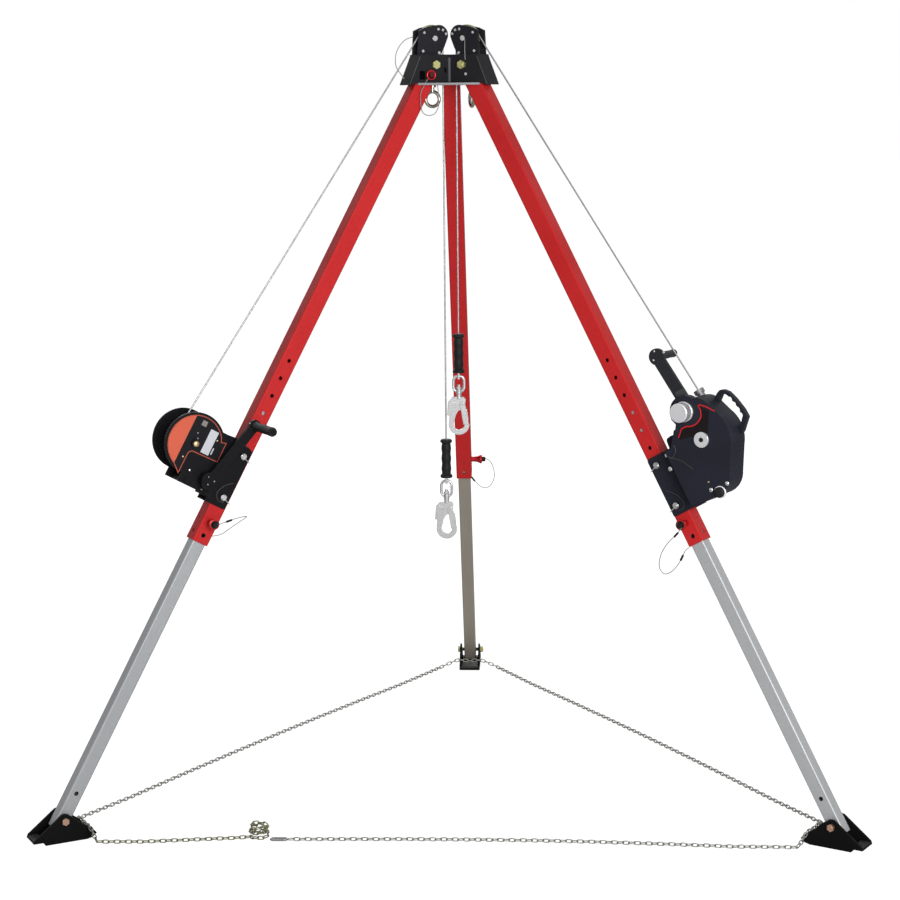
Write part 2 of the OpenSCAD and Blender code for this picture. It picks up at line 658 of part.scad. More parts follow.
module srl_crank() {
  end = srl_crank_len * [cos(srl_dir), sin(srl_dir)];
  color("#4a4b4e") leg_at(1) translate([hub_n, 0, hub_s]) union() {
    pin_y(20, cover_y0 - 0.3, case_y0 - 0.5);
    slab(-41, -31) crank_arm_2d(srl_crank_len, 18, 17, 27, 23, srl_dir);
    translate([end[0], 0, end[1]]) pin_y(10, -33, 68);
    translate([end[0], 0, end[1]]) pin_y(15, 66.3, 69);
  }
}
module srl_knob() {
  color("#c9cacc") leg_at(1) translate([hub_n, 0, hub_s])
    turned_y([[0, cover_y0 - 37], [24, cover_y0 - 37], [26, cover_y0 - 35], [26, cover_y0 - 8], [27.5,
      cover_y0 - 7],
      [27.5, cover_y0 - 0.3], [0, cover_y0 - 0.3]]);
}
module srl_grip() {
  end = srl_crank_len * [cos(srl_dir), sin(srl_dir)];
  color("#3a3b3d") leg_at(1) translate([hub_n + end[0], 0, hub_s + end[1]])
    turned_y([[5 + run, -30.6], [10, -30.6], [11.5, -26], [10.5, 0], [11, 20], [10.5, 40], [11.5, 61],
      [10, 66],
      [5 + run, 66]]);
}
module srl_handle() {
  color("#1e1e20") leg_at(1) difference() {
    slab(-9, 9) difference() {
      polygon([[236, 1166], [248, 1174], [259, 1178], [269, 1174], [280, 1162], [289, 1137], [297, 1102],
        [298, 1079], [285, 1067], [268, 1051], [258, 1046], [240, 1060], [235, 1130]]);
      polygon([[240, 1150], [258, 1164], [264, 1165], [271, 1159], [275, 1151], [281, 1129], [285, 1115],
        [286, 1093], [283, 1084], [273, 1072], [262, 1068], [240, 1090]]);
      for (q = [[280.5, 1092], [280, 1109], [276.5, 1126], [272.5, 1143]]) translate(q) circle(r = 8);
    }
    slab(-10, 10) case_2d(-0.1, case_left);
  }
}
module srl_nozzle() {
  color("#b4b7ba") difference() {
    on_lifeline(104) union() {
      cylinder(d = 22, h = 22);
      translate([0, 0, 11]) cylinder(d = 30, h = 11);
    }
    on_lifeline(90) cylinder(d = 1.6 * cable_d, h = 60);
    leg_at(1) slab(-40, 40) case_2d(-0.1, case_left);
  }
}
module srl_fasteners() {
  color("#c2c4c7") leg_at(1) {
    translate([spool_n, 0, spool_s]) union() {
      pin_y(16, case_y0 - 4, case_y1 + 8);
      pin_y(22, case_y0 + 4, -22.3);
      pin_y(24, case_y1 + 6, case_y1 + 10);
    }
    translate([disc_n, 0, spool_s]) union() {
      pin_y(12, cover_y0 - 2, cover_y0 + 8);
      pin_y(42, cover_y0 - 6, cover_y0);
    }
    mount_pins(srl_pins);
  }
}

// Wire ropes: from the drum, over the sheave and down to the hand grip
function rope_pts(k, c, r, t, z_end) =
  let (a = leave_angle(c, r), p = c + r * [cos(a), sin(a)], q = sheave_c + sheave_r * [cos(a), sin(a)],
    n = 5, m = 12)
  concat([for (i = [0:n - 1]) let (u = (i + 0.02) / n, w = p + (q - p) * u) on_bay(k, w[0], t * (1 - u),
    w[1])],
    [for (i = [0:m]) let (b = a + (180 - a) * i / m, w = sheave_c + sheave_r * [cos(b), sin(b)])
      on_bay(k, w[0], 0, w[1])],
    [for (i = [1:5]) on_bay(k, line_r, 0, sheave_z + (z_end - 2 - sheave_z) * i / 5)]);
module winch_cable() { color("#9a9da1") tube(rope_pts(0, line_w, wind_r, wind_end, winch_hook_z),
  cable_d, 8); }
module srl_cable() { color("#9a9da1") tube(rope_pts(1, line_s, spool_r, 0, srl_hook_z), cable_d, 8); }

// Snap hooks: the hand grip, the oval link, then the swivelling hook
module hook_at(k) {
  translate(on_bay(k, line_r, 0, k == 0 ? winch_hook_z : srl_hook_z)) children();
}
module hook_grip(k) {
  wave = [for (i = [0:12]) [13.6 - 0.9 * cos(i * 90), -12 - i * 7.4]];
  color("#1a1a1b") hook_at(k) rotate_extrude()
    polygon(concat([[cable_d / 2, 0], [15, 0], [17.5, -5], [17.5, -7]], wave,
      [[17.5, -106], [17.5, -111], [16, -113], [cable_d / 2, -113]]));
}
module hook_link(k) {
  color("#cfd1d3") hook_at(k) {
    difference() {
      translate([-3, -8, -131]) cube([6, 16, 18]);
      translate([-5, 0, -122]) rotate([0, 90, 0]) cylinder(d = 9.6, h = 10);
    }
    difference() {
      union() {
        for (m = [0, 1]) translate([0, 0, -137.5 - 16 * m]) rotate([90, 0, 0]) rotate([0, 0, 180 * m])
          rotate_extrude(angle = 180) translate([15.5, 0]) circle(d = 8);
        for (x = [-15.5, 15.5]) translate([x, 0, -153.5]) cylinder(d = 8, h = 16);
        translate([0, 0, -174]) cylinder(d = 17, h = 11);
      }
      translate([0, 0, -176]) cylinder(d = 10 + 2 * run, h = 16);
    }
  }
}
hook_z = -182;
module hook_body(k) {
  color("#c8cacc") hook_at(k) union() {
    translate([0, 0, -158]) cylinder(d = 10, h = 10);
    translate([0, 0, -161.8]) cylinder(d = 15, h = 7.1, $fn = 6);
    translate([0, 0, hook_z - 8]) cylinder(d = 10, h = 30);
    translate([0, 0, hook_z - 6]) cylinder(d = 15, h = 13.7);
    translate([0, 0, hook_z]) {
      slab(-6, 6) union() {
        difference() {
          translate([0, -82]) circle(r = 30);
          translate([0, -82]) circle(r = 16);
          translate([-40, -82]) square([80, 40]);
        }
        polygon([[-16, -83], [-30, -83], [-27, -50], [-28, -14], [-20, -2], [14, -2], [20, -10], [16, -34],
          [-2, -42], [-9, -54]]);
        polygon([[30, -83], [16, -83], [17, -76], [27, -74]]);
      }
      for (x = [-16, 10]) translate([x, 0, -24]) pin_y(4, -9.3, 9.3);
    }
  }
}
module hook_gate(k) {
  color("#d4d6d8") hook_at(k) translate([0, 0, hook_z]) difference() {
    union() {
      for (y = [-8.3, 6.3]) slab(y, y + 2) union() {
        translate([10, -24]) circle(r = 8);
        polygon([[17.5, -22], [4, -28], [13, -82], [28, -80]]);
      }
      slab(-7, 7) polygon([[23, -38], [18.5, -38], [23, -68], [27.5, -68]]);
    }
    translate([10, 0, -24]) pin_y(4 + 2 * run, -10, 10);
  }
}
module hook_lever(k) {
  color("#d4d6d8") hook_at(k) translate([0, 0, hook_z]) difference() {
    union() {
      for (y = [-8.3, 6.3]) slab(y, y + 2)
        polygon([[-22, -13], [-10, -18], [-10, -31], [-28, -56], [-33, -54], [-31, -14]]);
      slab(-7, 7) polygon([[-31, -14], [-29, -14], [-31.5, -54], [-34, -54]]);
    }
    translate([-16, 0, -24]) pin_y(4 + 2 * run, -10, 10);
  }
}

// Foot chain: through all three feet, closed by a link near the left foot, with its tail bundled
chain_z = chain_w / 2 + 1.5;
chain_r = foot_r - chain_in;
// the chain rests on the sloping edges of the two foot plates
edge_z = toe_z + (toe_len - chain_in) * (bolt_z + foot_top - toe_z) / (toe_len - 13);
over_z = edge_z + 0.69 * chain_w;
function through_foot(k) = [for (q = [[-100, 12], [-foot_out - 14, over_z - 3], [-foot_in - 2, over_z],
  [0, over_z - 5], [foot_in + 2, over_z], [foot_out + 14, over_z - 3], [100, 12]])
  on_bay(k, chain_r, q[0], q[1])];
function floor_run(a, b, sag) = [for (i = [1:7])
  let (u = i / 8, p = a + (b - a) * u, d = unit([b[1] - a[1], a[0] - b[0], 0]))
  [p[0], p[1], chain_z] + d * sag * sin(180 * u)];
function off_foot(k, t) = on_bay(k, chain_r, t, 12);
link_pt = [-430, -614 - centre_y, chain_z];
tail_pts = [for (i = [0:72])
  let (a = i * 15, g = i / 72)
  [link_pt[0] - 79.4 - 25 * cos(a), link_pt[1] + 15 - 18 * sin(a), chain_z + 1 + 36 * g]];
chain_pts = concat([link_pt + [1.4, 0, 0]],
  [for (p = floor_run(link_pt, off_foot(1, -100), -28)) p],
  through_foot(1), floor_run(off_foot(1, 100), off_foot(2, -100), 20),
  through_foot(2), floor_run(off_foot(2, 100), off_foot(0, -100), 20),
  through_foot(0), [for (i = [1:3]) let (p = off_foot(0, 100), q = [-570, -606 - centre_y, chain_z])
    [p[0] + (q[0] - p[0]) * i / 3, p[1] + (q[1] - p[1]) * i / 3, chain_z]], tail_pts);
module foot_chain() {
  color("#8b8d84") tube(chain_pts, chain_w, 8);
  far = [for (i = [0:72]) for (j = [i + 13:72]) norm(tail_pts[i] - tail_pts[j])];
  echo(tail_least_gap = min(far) - chain_w);
}
module chain_link() {
  color("#b9bcc0") translate(link_pt + [-24, 0, 0]) union() {
    for (m = [-1, 1]) translate([m * 14, 0, 0]) rotate([0, 0, m > 0 ? -90 : 90])
      rotate_extrude(angle = 180) translate([8, 0]) circle(d = 6);
    for (y = [-8, 8]) translate([-14, y, 0]) rotate([0, 90, 0]) cylinder(d = 6, h = 28);
  }
}

head_frame();
base_plate();
eye_bolts();
head_fasteners();
pulley_cheeks();
sheave(0);  // sheave_left
sheave(1);  // sheave_right
lock_pin(0);  // lock_pin_left
lock_pin(1);  // lock_pin_right
lock_pin(2);  // lock_pin_rear
upper_leg(0);  // upper_leg_left
upper_leg(1);  // upper_leg_right
upper_leg(2);  // upper_leg_rear
lower_leg(0);  // lower_leg_left
lower_leg(1);  // lower_leg_right
lower_leg(2);  // lower_leg_rear
leg_pin(0);  // leg_pin_left
leg_pin(1);  // leg_pin_right
leg_pin(2);  // leg_pin_rear
foot(0);  // foot_left
foot(1);  // foot_right
foot(2);  // foot_rear
foot_bolt(0);  // foot_bolt_left
foot_bolt(1);  // foot_bolt_right
foot_bolt(2);  // foot_bolt_rear
winch_bracket();
winch_frame();
winch_drum();
winch_winding();
winch_gear();
winch_pinion();
winch_crank();
winch_grip();
winch_fasteners();
srl_bracket();
srl_housing();
srl_rear_cover();
srl_front_cover();
srl_spool();
srl_spring();
srl_crank();
srl_knob();
srl_grip();
srl_handle();
srl_nozzle();
srl_fasteners();
winch_cable();
srl_cable();
hook_grip(0);  // winch_hook_grip
hook_link(0);  // winch_hook_link
hook_body(0);  // winch_hook_body
hook_gate(0);  // winch_hook_gate
hook_lever(0);  // winch_hook_lever
hook_grip(1);  // srl_hook_grip
hook_link(1);  // srl_hook_link
hook_body(1);  // srl_hook_body
hook_gate(1);  // srl_hook_gate
hook_lever(1);  // srl_hook_lever
foot_chain();
chain_link();
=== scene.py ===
import math
import bmesh
import bpy
from mathutils import Matrix, Vector


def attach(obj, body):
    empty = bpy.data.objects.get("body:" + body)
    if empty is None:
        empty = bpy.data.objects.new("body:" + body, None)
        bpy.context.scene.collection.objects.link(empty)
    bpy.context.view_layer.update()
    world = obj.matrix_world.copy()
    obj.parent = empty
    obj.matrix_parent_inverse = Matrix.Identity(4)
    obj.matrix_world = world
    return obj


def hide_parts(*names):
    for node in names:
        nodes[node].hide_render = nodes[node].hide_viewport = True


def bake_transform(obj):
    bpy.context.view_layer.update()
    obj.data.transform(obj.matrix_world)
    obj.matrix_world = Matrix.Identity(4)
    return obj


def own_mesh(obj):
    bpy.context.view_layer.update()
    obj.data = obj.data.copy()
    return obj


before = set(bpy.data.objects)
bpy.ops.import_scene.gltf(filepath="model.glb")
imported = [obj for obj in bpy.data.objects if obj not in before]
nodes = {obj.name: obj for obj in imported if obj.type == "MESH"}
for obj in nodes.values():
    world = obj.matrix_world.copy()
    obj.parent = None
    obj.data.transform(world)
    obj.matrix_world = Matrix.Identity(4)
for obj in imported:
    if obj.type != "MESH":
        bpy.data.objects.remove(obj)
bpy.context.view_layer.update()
mm = 0.001
print("frame:", len(nodes), "nodes")

# the tripod's own measures, as in the part's source, in mm
stance = {"tilt": math.radians(29.65), "legLen": 2329.0, "pivotR": 62.0, "boltZ": 60.0, "heel": 89.0,
          "footHalf": 35.0, "tubeHalf": 25.0, "tubeAbove": 10.0, "headGap": 1.5, "deck": 6.0}
legAz = [math.radians(a) for a in (210, 330, 90)]
sinTilt, cosTilt = math.sin(stance["tilt"]), math.cos(stance["tilt"])
footR = stance["pivotR"] + stance["legLen"] * sinTilt
pivotZ = stance["boltZ"] + stance["legLen"] * cosTilt
shiftY = ((footR + stance["heel"]) / 2 - stance["footHalf"] * math.cos(math.radians(30))) / 2
tubeTop = pivotZ + stance["tubeHalf"] * sinTilt + stance["tubeAbove"] * cosTilt
deckZ = tubeTop + stance["headGap"] + stance["deck"]
sheave = {"x": 58.0, "z": deckZ + 44.5, "r": 36.0}
lineR = sheave["x"] - sheave["r"]
hookTop = [1011.0, 1319.0]
legSides = ("left", "right", "rear")
legNames = [side + "_leg" for side in legSides]
lines = ("winch", "srl")


def bayPoint(k, r, t, z):  # outwards, sideways, up from the tripod's axis, mm in, metres out
    c, s = math.cos(legAz[k]), math.sin(legAz[k])
    return Vector((r * c - t * s, r * s + t * c - shiftY, z)) * mm


def legMatrix(k):  # local X outwards off the leg, Y sideways, Z up the leg from the foot bolt, all in mm
    c, s = math.cos(legAz[k]), math.sin(legAz[k])
    origin = bayPoint(k, footR, 0, stance["boltZ"])
    cols = [Vector((c * cosTilt, s * cosTilt, sinTilt)) * mm, Vector((-s, c, 0)) * mm,
            Vector((-c * sinTilt, -s * sinTilt, cosTilt)) * mm]
    m = Matrix.Identity(4)
    for i in range(3):
        for j in range(3):
            m[i][j] = cols[j][i]
        m[i][3] = origin[i]
    return m


def legPoint(k, n, t, s):
    return legMatrix(k) @ Vector((n, t, s))


def freePoint(x, y, z):  # a point given from the tripod's axis, in mm
    return Vector((x, y - shiftY, z)) * mm


# camera at the photograph's angle
view = {"spot": (280.6, -6130.0, 1990.5), "yaw": -2.701, "pitch": 9.374, "roll": -0.477, "lens": 85.19,
        "sensor": 36.0, "far": 200}


def makeCamera():
    yaw, pitch, roll = (math.radians(view[q]) for q in ("yaw", "pitch", "roll"))
    ahead = Vector((math.sin(yaw) * math.cos(pitch), math.cos(yaw) * math.cos(pitch), -math.sin(pitch)))
    side = Vector((math.cos(yaw), -math.sin(yaw), 0))
    top = side.cross(ahead)
    side, top = math.cos(roll) * side + math.sin(roll) * top, -math.sin(roll) * side + math.cos(roll) * top
    data = bpy.data.cameras.new("photoCamera")
    data.lens, data.sensor_width, data.clip_end = view["lens"], view["sensor"], view["far"]
    cam = bpy.data.objects.new("photoCamera", data)
    bpy.context.scene.collection.objects.link(cam)
    m = Matrix.Identity(4)
    for i in range(3):
        m[i][0], m[i][1], m[i][2] = side[i], top[i], -ahead[i]
    cam.matrix_world = Matrix.Translation(freePoint(*view["spot"])) @ m
    bpy.context.scene.camera = cam


makeCamera()
print("camera set")


# shader groups shared by the finishes
# edge band of rubbed wear and painted edge highlight: turn of the surface, noise scale, detail and cut
rubbedAndLitEdge = {"turn": (0.995, 0.86), "scale": 85, "detail": 6, "cut": (0.42, 0.72)}


def newGroup(name, inputs, outputs):
    g = bpy.data.node_groups.new(name, "ShaderNodeTree")
    for label, kind, value in inputs:
        sock = g.interface.new_socket(name=label, in_out="INPUT", socket_type=kind)
        sock.default_value = value
    for label, kind in outputs:
        g.interface.new_socket(name=label, in_out="OUTPUT", socket_type=kind)
    return g, g.nodes.new("NodeGroupInput"), g.nodes.new("NodeGroupOutput")


def addNode(tree, kind, **values):
    node = tree.nodes.new(kind)
    for key, value in values.items():
        setattr(node, key, value)
    return node


def makeSpeckle():  # fine orange peel and slow colour drift
    g, a, b = newGroup("speckle", [("Fine", "NodeSocketFloat", 900.0), ("Broad", "NodeSocketFloat", 6.0)],
                       [("Grain", "NodeSocketFloat"), ("Drift", "NodeSocketFloat")])
    where = addNode(g, "ShaderNodeTexCoord")
    fine = addNode(g, "ShaderNodeTexNoise")
    fine.inputs["Detail"].default_value = 3
    broad = addNode(g, "ShaderNodeTexNoise")
    broad.inputs["Detail"].default_value = 5
    for tex, label in ((fine, "Fine"), (broad, "Broad")):
        g.links.new(where.outputs["Object"], tex.inputs["Vector"])
        g.links.new(a.outputs[label], tex.inputs["Scale"])
    g.links.new(fine.outputs["Fac"], b.inputs["Grain"])
    g.links.new(broad.outputs["Fac"], b.inputs["Drift"])
    return g


def makeEdgeWearAndSheen():  # pale edges, partly rubbed wear and partly a painted edge highlight, broken up by noise
    inputs = [("Width", "NodeSocketFloat", 0.0015), ("Amount", "NodeSocketFloat", 1.0)]
    g, a, b = newGroup("edgeWearAndSheen", inputs, [("Mask", "NodeSocketFloat")])
    soft = addNode(g, "ShaderNodeBevel", samples=4)
    g.links.new(a.outputs["Width"], soft.inputs["Radius"])
    flat = addNode(g, "ShaderNodeNewGeometry")
    dot = addNode(g, "ShaderNodeVectorMath", operation="DOT_PRODUCT")
    g.links.new(soft.outputs["Normal"], dot.inputs[0])
    g.links.new(flat.outputs["Normal"], dot.inputs[1])
    turn = addNode(g, "ShaderNodeMapRange")
    turn.inputs["From Min"].default_value, turn.inputs["From Max"].default_value = rubbedAndLitEdge["turn"]
    g.links.new(dot.outputs["Value"], turn.inputs["Value"])
    where = addNode(g, "ShaderNodeTexCoord")
    patch = addNode(g, "ShaderNodeTexNoise")
    patch.inputs["Scale"].default_value = rubbedAndLitEdge["scale"]
    patch.inputs["Detail"].default_value = rubbedAndLitEdge["detail"]
    g.links.new(where.outputs["Object"], patch.inputs["Vector"])
    cut = addNode(g, "ShaderNodeMapRange")
    cut.inputs["From Min"].default_value, cut.inputs["From Max"].default_value = rubbedAndLitEdge["cut"]
    g.links.new(patch.outputs["Fac"], cut.inputs["Value"])
    both = addNode(g, "ShaderNodeMath", operation="MULTIPLY")
    g.links.new(turn.outputs["Result"], both.inputs[0])
    g.links.new(cut.outputs["Result"], both.inputs[1])
    scaled = addNode(g, "ShaderNodeMath", operation="MULTIPLY", use_clamp=True)
    g.links.new(both.outputs["Value"], scaled.inputs[0])
    g.links.new(a.outputs["Amount"], scaled.inputs[1])
    g.links.new(scaled.outputs["Value"], b.inputs["Mask"])
    return g


def makeDrawLines():  # fine lines drawn along one direction
    inputs = [("Along", "NodeSocketVector", (0, 0, 1)), ("Fine", "NodeSocketFloat", 900.0),
              ("Stretch", "NodeSocketFloat", 0.004)]
    g, a, b = newGroup("drawLines", inputs, [("Line", "NodeSocketFloat")])
    where = addNode(g, "ShaderNodeTexCoord")
    dot = addNode(g, "ShaderNodeVectorMath", operation="DOT_PRODUCT")
    g.links.new(where.outputs["Object"], dot.inputs[0])
    g.links.new(a.outputs["Along"], dot.inputs[1])
    run = addNode(g, "ShaderNodeVectorMath", operation="SCALE")
    g.links.new(a.outputs["Along"], run.inputs[0])
    g.links.new(dot.outputs["Value"], run.inputs["Scale"])
    across = addNode(g, "ShaderNodeVectorMath", operation="SUBTRACT")
    g.links.new(where.outputs["Object"], across.inputs[0])
    g.links.new(run.outputs["Vector"], across.inputs[1])
    slow = addNode(g, "ShaderNodeVectorMath", operation="SCALE")
    g.links.new(run.outputs["Vector"], slow.inputs[0])
    g.links.new(a.outputs["Stretch"], slow.inputs["Scale"])
    both = addNode(g, "ShaderNodeVectorMath", operation="ADD")
    g.links.new(across.outputs["Vector"], both.inputs[0])
    g.links.new(slow.outputs["Vector"], both.inputs[1])
    tex = addNode(g, "ShaderNodeTexNoise")
    tex.inputs["Detail"].default_value = 2
    g.links.new(both.outputs["Vector"], tex.inputs["Vector"])
    g.links.new(a.outputs["Fine"], tex.inputs["Scale"])
    g.links.new(tex.outputs["Fac"], b.inputs["Line"])
    return g


groups = {"speckle": makeSpeckle(), "edgeWearAndSheen": makeEdgeWearAndSheen(), "drawLines": makeDrawLines()}


def placeGroup(tree, name, **values):
    node = addNode(tree, "ShaderNodeGroup", node_tree=groups[name])
    for key, value in values.items():
        node.inputs[key].default_value = value
    return node


def mixColour(tree, mask, first, second):
    mix = addNode(tree, "ShaderNodeMix", data_type="RGBA")
    for sock, value in ((mix.inputs[6], first), (mix.inputs[7], second)):
        if isinstance(value, tuple):
            sock.default_value = (*value, 1)
        else:
            tree.links.new(value, sock)
    tree.links.new(mask, mix.inputs[0])
    return mix.outputs[2]


def spread(tree, value, low, high, fromLow=0.3, fromHigh=0.7):
    ramp = addNode(tree, "ShaderNodeMapRange")
    ramp.inputs["From Min"].default_value, ramp.inputs["From Max"].default_value = fromLow, fromHigh
    ramp.inputs["To Min"].default_value, ramp.inputs["To Max"].default_value = low, high
    tree.links.new(value, ramp.inputs["Value"])
    return ramp.outputs["Result"]


# what a finish has unless it says otherwise
basic = {"fine": 900.0, "broad": 6.0, "bump": 0.08, "depth": 0.0004, "roughVary": 0.06, "metal": 0.0,
         "specular": 0.5, "shadeDown": 0.8, "lineFine": 900.0, "stretch": 0.004, "lineMix": 0.5,
         "lineDown": 0.7, "wearAndSheenWidth": 0.0015, "wearAndSheenAmount": 0.6}


def makeFinish(name, settings):
    s = {**basic, **settings}
    mat = bpy.data.materials.new(name)
    mat.use_nodes = True
    tree = mat.node_tree
    shader = tree.nodes["Principled BSDF"]
    grain = placeGroup(tree, "speckle", Fine=s["fine"], Broad=s["broad"])
    drift = spread(tree, grain.outputs["Drift"], 0, 1)
    shade = s.get("shade", tuple(s["shadeDown"] * c for c in s["colour"]))
    colour = mixColour(tree, drift, s["colour"], shade)
    height = grain.outputs["Grain"]
    if "along" in s:  # drawn or brushed metal
        drawn = placeGroup(tree, "drawLines", Along=s["along"], Fine=s["lineFine"], Stretch=s["stretch"])
        lineMask = spread(tree, drawn.outputs["Line"], 0, s["lineMix"])
        colour = mixColour(tree, lineMask, colour, tuple(s["lineDown"] * c for c in s["colour"]))
        height = drawn.outputs["Line"]
    if "wornAndLit" in s:  # rubbed edges and painted edge highlight
        rubAndSheen = placeGroup(tree, "edgeWearAndSheen", Width=s["wearAndSheenWidth"], Amount=s["wearAndSheenAmount"])
        colour = mixColour(tree, rubAndSheen.outputs["Mask"], colour, s["wornAndLit"])
    tree.links.new(colour, shader.inputs["Base Color"])
    low, high = s["rough"] - s["roughVary"], s["rough"] + s["roughVary"]
    tree.links.new(spread(tree, grain.outputs["Drift"], low, high), shader.inputs["Roughness"])
    bump = addNode(tree, "ShaderNodeBump")
    bump.inputs["Strength"].default_value, bump.inputs["Distance"].default_value = s["bump"], s["depth"]
    tree.links.new(height, bump.inputs["Height"])
    if "round" in s:  # softened corners
        soft = addNode(tree, "ShaderNodeBevel", samples=4)
        soft.inputs["Radius"].default_value = s["round"]
        tree.links.new(soft.outputs["Normal"], bump.inputs["Normal"])
    tree.links.new(bump.outputs["Normal"], shader.inputs["Normal"])
    shader.inputs["Metallic"].default_value = s["metal"]
    shader.inputs["Specular IOR Level"].default_value = s["specular"]
    return mat


def legAlong(k):
    m = legMatrix(k)
    return tuple(Vector((m[0][2], m[1][2], m[2][2])).normalized())


# the pale edge colour of each finish paints rubbed wear and an edge highlight together
redCoat = makeFinish("redPowderCoat", {
    "colour": (0.47, 0.020, 0.021), "shade": (0.43, 0.016, 0.017), "rough": 0.45, "specular": 0.10,
    "fine": 700.0, "bump": 0.10, "round": 0.004, "wornAndLit": (0.54, 0.09, 0.085), "wearAndSheenAmount": 0.35,
    "wearAndSheenWidth": 0.0015})
# the same drawn tube in three tones, one per leg: the differences between them are painted light and shade
tubeLitShadedTones = {"Left": ((0.34, 0.35, 0.36), (0.305, 0.315, 0.325)),
             "Right": ((0.41, 0.42, 0.43), (0.37, 0.38, 0.39)),
             "Rear": ((0.335, 0.305, 0.255), (0.29, 0.264, 0.22))}
tubeSilver = [makeFinish("drawnTube" + side, {
    "colour": light, "shade": dark, "rough": 0.45, "metal": 0.35, "specular": 0.2, "along": legAlong(k),
    "lineMix": 0.3, "bump": 0.05, "round": 0.0015, "broad": 3.0})
    for k, (side, (light, dark)) in enumerate(tubeLitShadedTones.items())]
headBlack = makeFinish("headBlack", {
    "colour": (0.020, 0.020, 0.023), "shade": (0.015, 0.015, 0.017), "rough": 0.42, "specular": 0.03,
    "fine": 1100.0, "bump": 0.14, "round": 0.0025, "wornAndLit": (0.10, 0.10, 0.11), "wearAndSheenAmount": 0.7})
footBlack = makeFinish("footBlack", {
    "colour": (0.006, 0.006, 0.006), "shade": (0.004, 0.004, 0.004), "rough": 0.5, "specular": 0.03,
    "fine": 900.0, "bump": 0.14, "round": 0.002, "wornAndLit": (0.07, 0.07, 0.07), "wearAndSheenAmount": 0.7})
plateGrey = makeFinish("plateGrey", {
    "colour": (0.26, 0.265, 0.28), "shade": (0.20, 0.204, 0.216), "rough": 0.45, "specular": 0.3,
    "bump": 0.12, "round": 0.0015, "wornAndLit": (0.26, 0.26, 0.26)})
cheekBlack = makeFinish("cheekBlack", {
    "colour": (0.020, 0.020, 0.024), "shade": (0.015, 0.015, 0.018), "rough": 0.40, "specular": 0.03,
    "bump": 0.1, "round": 0.0012, "wornAndLit": (0.09, 0.09, 0.10), "wearAndSheenAmount": 0.6})
caseBlack = makeFinish("caseBlack", {
    "colour": (0.017, 0.018, 0.027), "shade": (0.013, 0.014, 0.020), "rough": 0.5, "specular": 0.06,
    "fine": 2200.0, "bump": 0.2, "round": 0.003})
winchBlack = makeFinish("winchBlack", {
    "colour": (0.010, 0.010, 0.012), "shade": (0.007, 0.007, 0.008), "rough": 0.44, "specular": 0.04,
    "bump": 0.12, "round": 0.0015, "wornAndLit": (0.08, 0.08, 0.08), "wearAndSheenAmount": 0.6})
armGrey = makeFinish("armGrey", {
    "colour": (0.022, 0.023, 0.026), "shade": (0.016, 0.016, 0.019), "rough": 0.4, "specular": 0.08,
    "bump": 0.1, "round": 0.0015})
stainless = makeFinish("stainless", {
    "colour": (0.38, 0.36, 0.32), "shade": (0.28, 0.255, 0.215), "rough": 0.26, "metal": 1.0,
    "bump": 0.04, "broad": 40.0})
hookSteel = makeFinish("hookSteel", {
    "colour": (0.46, 0.455, 0.46), "shade": (0.36, 0.355, 0.36), "rough": 0.34, "metal": 0.7,
    "bump": 0.08, "round": 0.002, "broad": 30.0})
screwZinc = makeFinish("screwZinc", {
    "colour": (0.60, 0.60, 0.60), "shade": (0.44, 0.44, 0.45), "rough": 0.28, "metal": 1.0, "broad": 60.0,
    "bump": 0.05, "round": 0.0008})
yellowZinc = makeFinish("yellowZinc", {
    "colour": (0.50, 0.52, 0.20), "shade": (0.42, 0.36, 0.18), "rough": 0.36, "metal": 0.7, "broad": 90.0,
    "bump": 0.06, "round": 0.001})
sheaveGold = makeFinish("sheaveGold", {
    "colour": (0.34, 0.32, 0.11), "shade": (0.26, 0.25, 0.1), "rough": 0.35, "metal": 0.8, "broad": 40.0})
redAnodised = makeFinish("redAnodised", {
    "colour": (0.50, 0.02, 0.025), "shade": (0.38, 0.015, 0.02), "rough": 0.28, "metal": 0.7,
    "broad": 50.0, "bump": 0.04, "round": 0.0008, "specular": 0.3})
drumSteel = makeFinish("drumSteel", {
    "colour": (0.26, 0.26, 0.27), "shade": (0.19, 0.19, 0.20), "rough": 0.4, "metal": 0.9, "broad": 30.0})
footUpFaceGrey = makeFinish("footUpFaceGrey", {
    "colour": (0.055, 0.052, 0.050), "shade": (0.02, 0.02, 0.02), "rough": 0.6, "specular": 0.1,
    "broad": 45.0, "fine": 500.0, "bump": 0.3})
copperZinc = makeFinish("copperZinc", {
    "colour": (0.56, 0.37, 0.27), "shade": (0.44, 0.26, 0.18), "rough": 0.32, "metal": 0.9, "broad": 90.0,
    "round": 0.001})
brassDome = makeFinish("brassDome", {
    "colour": (0.62, 0.48, 0.27), "shade": (0.48, 0.34, 0.18), "rough": 0.25, "metal": 0.95,
    "broad": 90.0})
paintedShadowRed = makeFinish("paintedShadowRed", {
    "colour": (0.10, 0.008, 0.008), "shade": (0.05, 0.005, 0.005), "rough": 0.4, "specular": 0.2})
rivetDark = makeFinish("rivetDark", {
    "colour": (0.20, 0.20, 0.21), "shade": (0.13, 0.13, 0.14), "rough": 0.32, "metal": 0.9,
    "broad": 90.0})
loopDark = makeFinish("loopDark", {
    "colour": (0.07, 0.07, 0.07), "shade": (0.045, 0.045, 0.045), "rough": 0.45, "metal": 0.4,
    "specular": 0.2})
holeShadeBlack = makeFinish("holeShadeBlack", {"colour": (0.003, 0.003, 0.004), "rough": 0.7, "specular": 0.0})
foldHighlightGrey = makeFinish("foldHighlightGrey", {
    "colour": (0.10, 0.10, 0.11), "shade": (0.075, 0.075, 0.083), "rough": 0.5, "specular": 0.1})
